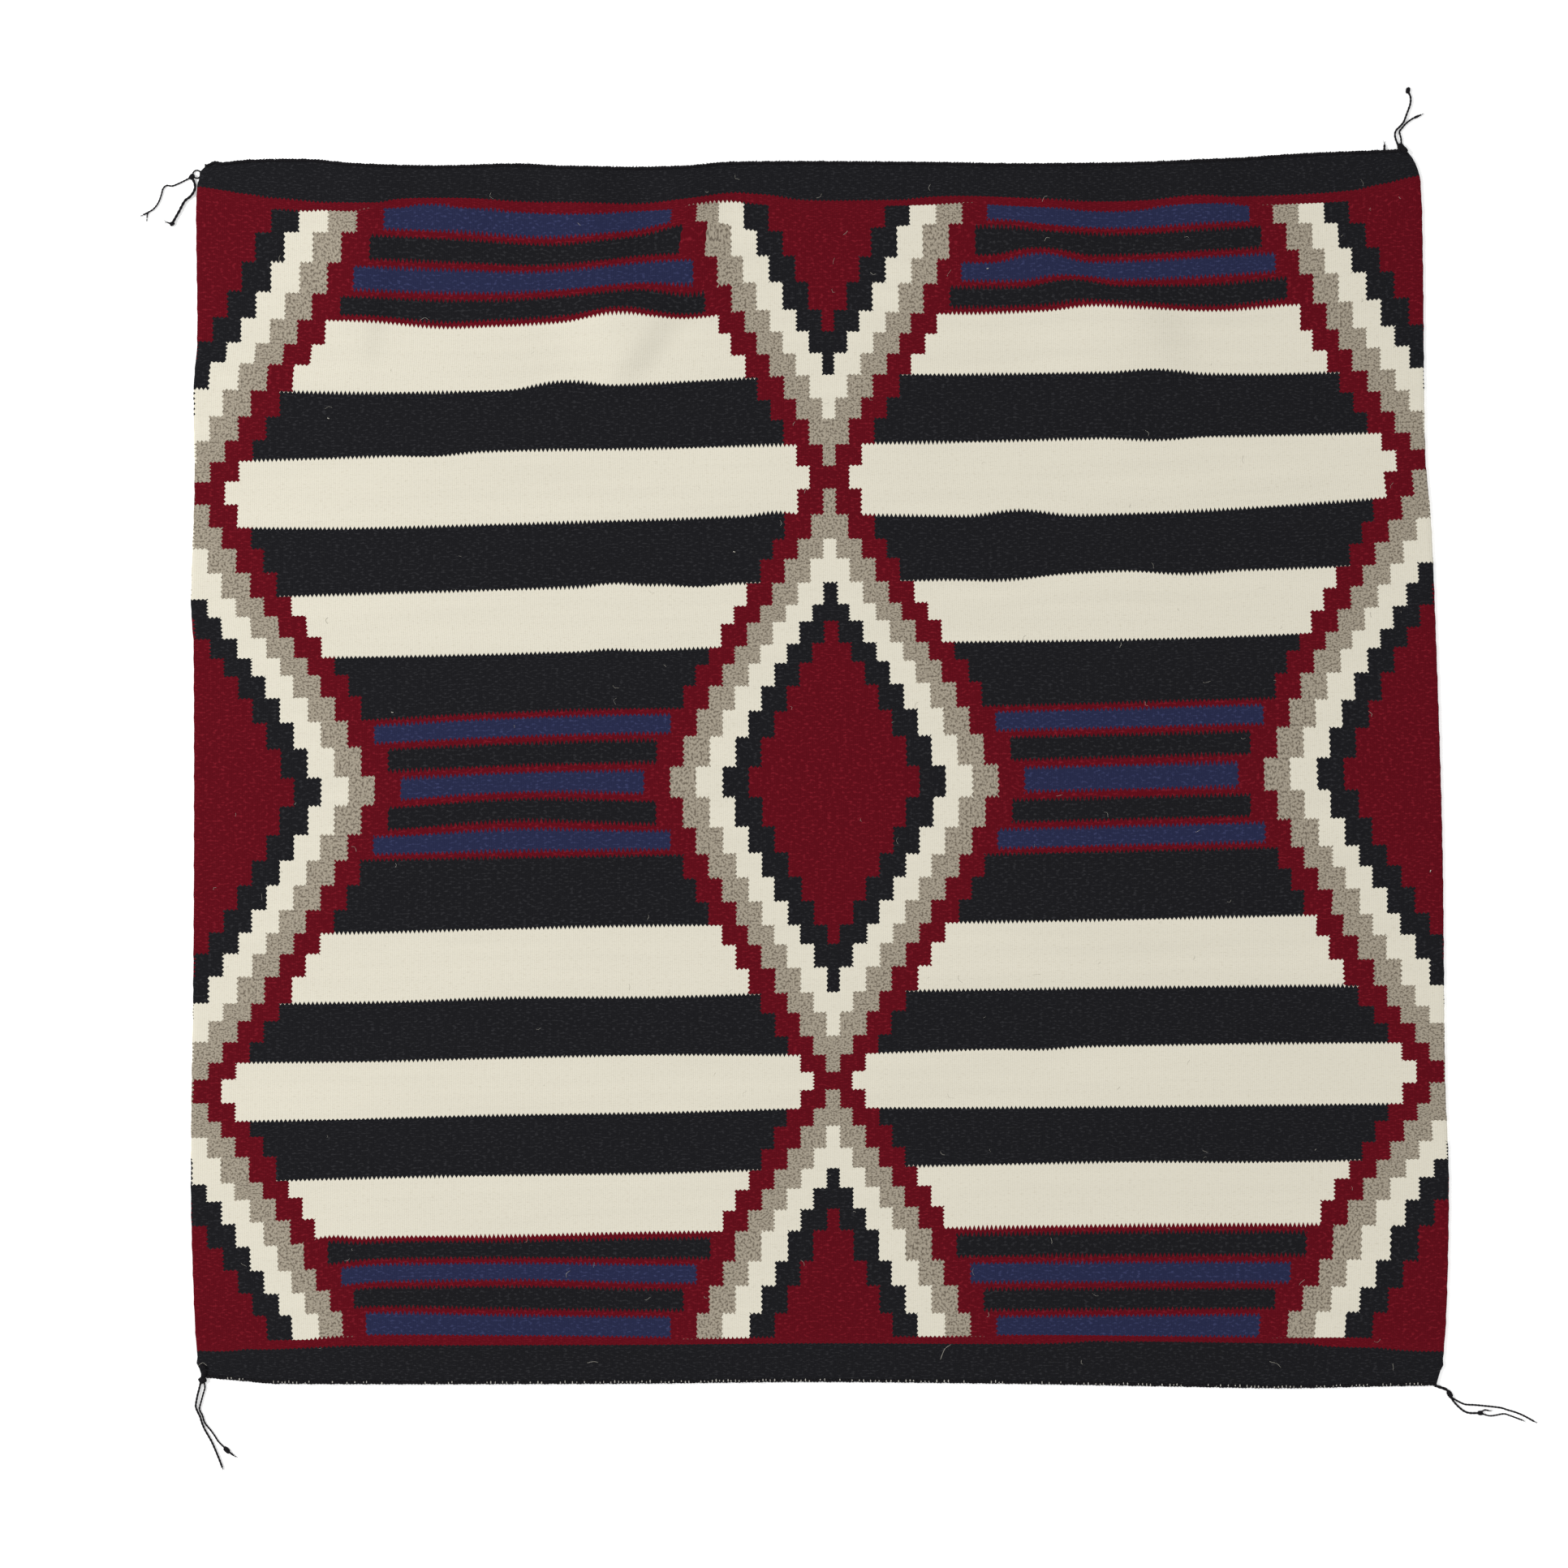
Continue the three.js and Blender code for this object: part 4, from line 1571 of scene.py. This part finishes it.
@dataclass(frozen=True)
class Lamp:
    """A soft square light that faces the rug: its place, the length of its side and its strength."""

    name: str
    spot: tuple[float, float, float]
    side: float
    watts: float

    def hang(self) -> None:
        """Hang the light in its place."""
        light = bpy.data.lights.new(self.name, "AREA")
        light.size = self.side
        light.energy = self.watts
        lamp = bpy.data.objects.new(self.name, light)
        lamp.location = self.spot
        lamp.rotation_mode = "QUATERNION"
        lamp.rotation_quaternion = (-Vector(self.spot)).to_track_quat("-Z", "Y")
        bpy.context.scene.collection.objects.link(lamp)


@dataclass(frozen=True)
class Studio:
    """The pale floor, the soft lights and the camera straight above."""

    lens: float = 85.0
    sensor: float = 36.0
    floor_side: float = 24.0
    floor_drop: float = 0.0002
    floor_white: float = 0.95
    floor_glow: float = 0.30
    room_light: float = 0.48
    lamps: tuple[Lamp, ...] = (
        Lamp("key_light", spot=(-5.6, 1.7, 4.0), side=1.6, watts=430.0),
        Lamp("fill_light", spot=(4.5, -2.5, 4.6), side=3.0, watts=130.0),
    )

    def floor(self) -> None:
        """Make the floor, which isn't part of the rug."""
        bm = bmesh.new()
        bmesh.ops.create_grid(bm, x_segments=1, y_segments=1, size=self.floor_side / 2)
        bmesh.ops.translate(bm, verts=bm.verts[:], vec=(0, 0, -self.floor_drop))
        mesh = bpy.data.meshes.new("floor")
        bm.to_mesh(mesh)
        bm.free()
        material = bpy.data.materials.new("floor_white")
        material.use_nodes = True
        shader = material.node_tree.nodes["Principled BSDF"]
        shader.inputs["Base Color"].default_value = (*[self.floor_white] * 3, 1.0)
        shader.inputs["Emission Color"].default_value = (1.0, 1.0, 1.0, 1.0)
        shader.inputs["Emission Strength"].default_value = self.floor_glow
        shader.inputs["Roughness"].default_value = 0.9
        shader.inputs["Specular IOR Level"].default_value = 0.1
        mesh.materials.append(material)
        piece = bpy.data.objects.new("floor", mesh)
        bpy.context.scene.collection.objects.link(piece)

    def lights(self) -> None:
        """Set the even light of the room and the two lamps."""
        world = bpy.data.worlds.new("studio")
        world.use_nodes = True
        background = world.node_tree.nodes["Background"]
        background.inputs["Color"].default_value = (1.0, 1.0, 1.0, 1.0)
        background.inputs["Strength"].default_value = self.room_light
        bpy.context.scene.world = world
        for lamp in self.lamps:
            lamp.hang()

    def camera(self) -> None:
        """Hang the camera over the middle of the photograph."""
        view = bpy.data.cameras.new("camera")
        view.lens = self.lens
        view.sensor_width = self.sensor
        middle = PHOTO_SIDE / 2
        x = (middle - ORIGIN_PIXEL[0]) * METRES_PER_PIXEL
        y = (ORIGIN_PIXEL[1] - middle) * METRES_PER_PIXEL
        height = PHOTO_SIDE * METRES_PER_PIXEL * self.lens / self.sensor
        camera = bpy.data.objects.new("camera", view)
        camera.location = (x, y, height + WEB_THICKNESS)
        bpy.context.scene.collection.objects.link(camera)
        bpy.context.scene.camera = camera

    def build(self) -> None:
        """Set the whole studio up."""
        bpy.context.scene.view_settings.view_transform = "Standard"
        self.floor()
        self.lights()
        self.camera()


def main() -> None:
    """Build the rug's pieces in order, then the studio round them."""
    logging.basicConfig(level=logging.INFO, format="%(message)s")
    groups = WeaveGroups()
    heather = groups.heather()
    black = YarnFinish("black_yarn", Dye("1a191c", "2d2a2a", 0.34)).material(heather)
    pale = YarnFinish("pale_warp", Dye("b9b6ae", "8f8c86", 0.35)).material(heather)
    fluff = YarnFinish("pale_fluff", Dye("c4c0b4", "9b978c", 0.35)).material(heather)
    web = Web().build(WebFinish(groups).material(heather))
    trimmings = [
        EndCord(End.TOP, stub_x=0.628).build(black),
        EndCord(End.BOTTOM).build(black),
        WarpLoops(
            End.BOTTOM, first=-0.655, last=0.675, shown=0.75, rise=0.0040, reach=(0.0, 0.0018)
        ).build(pale),
        WarpLoops(
            End.TOP, first=-0.670, last=0.645, shown=1.0, rise=0.0018, reach=(0.0018, 0.0030)
        ).build(black),
        Lint().build(fluff),
        *[tassel.build(black) for tassel in TASSELS],
    ]
    Studio().build()


if __name__ == "__main__":
    main()
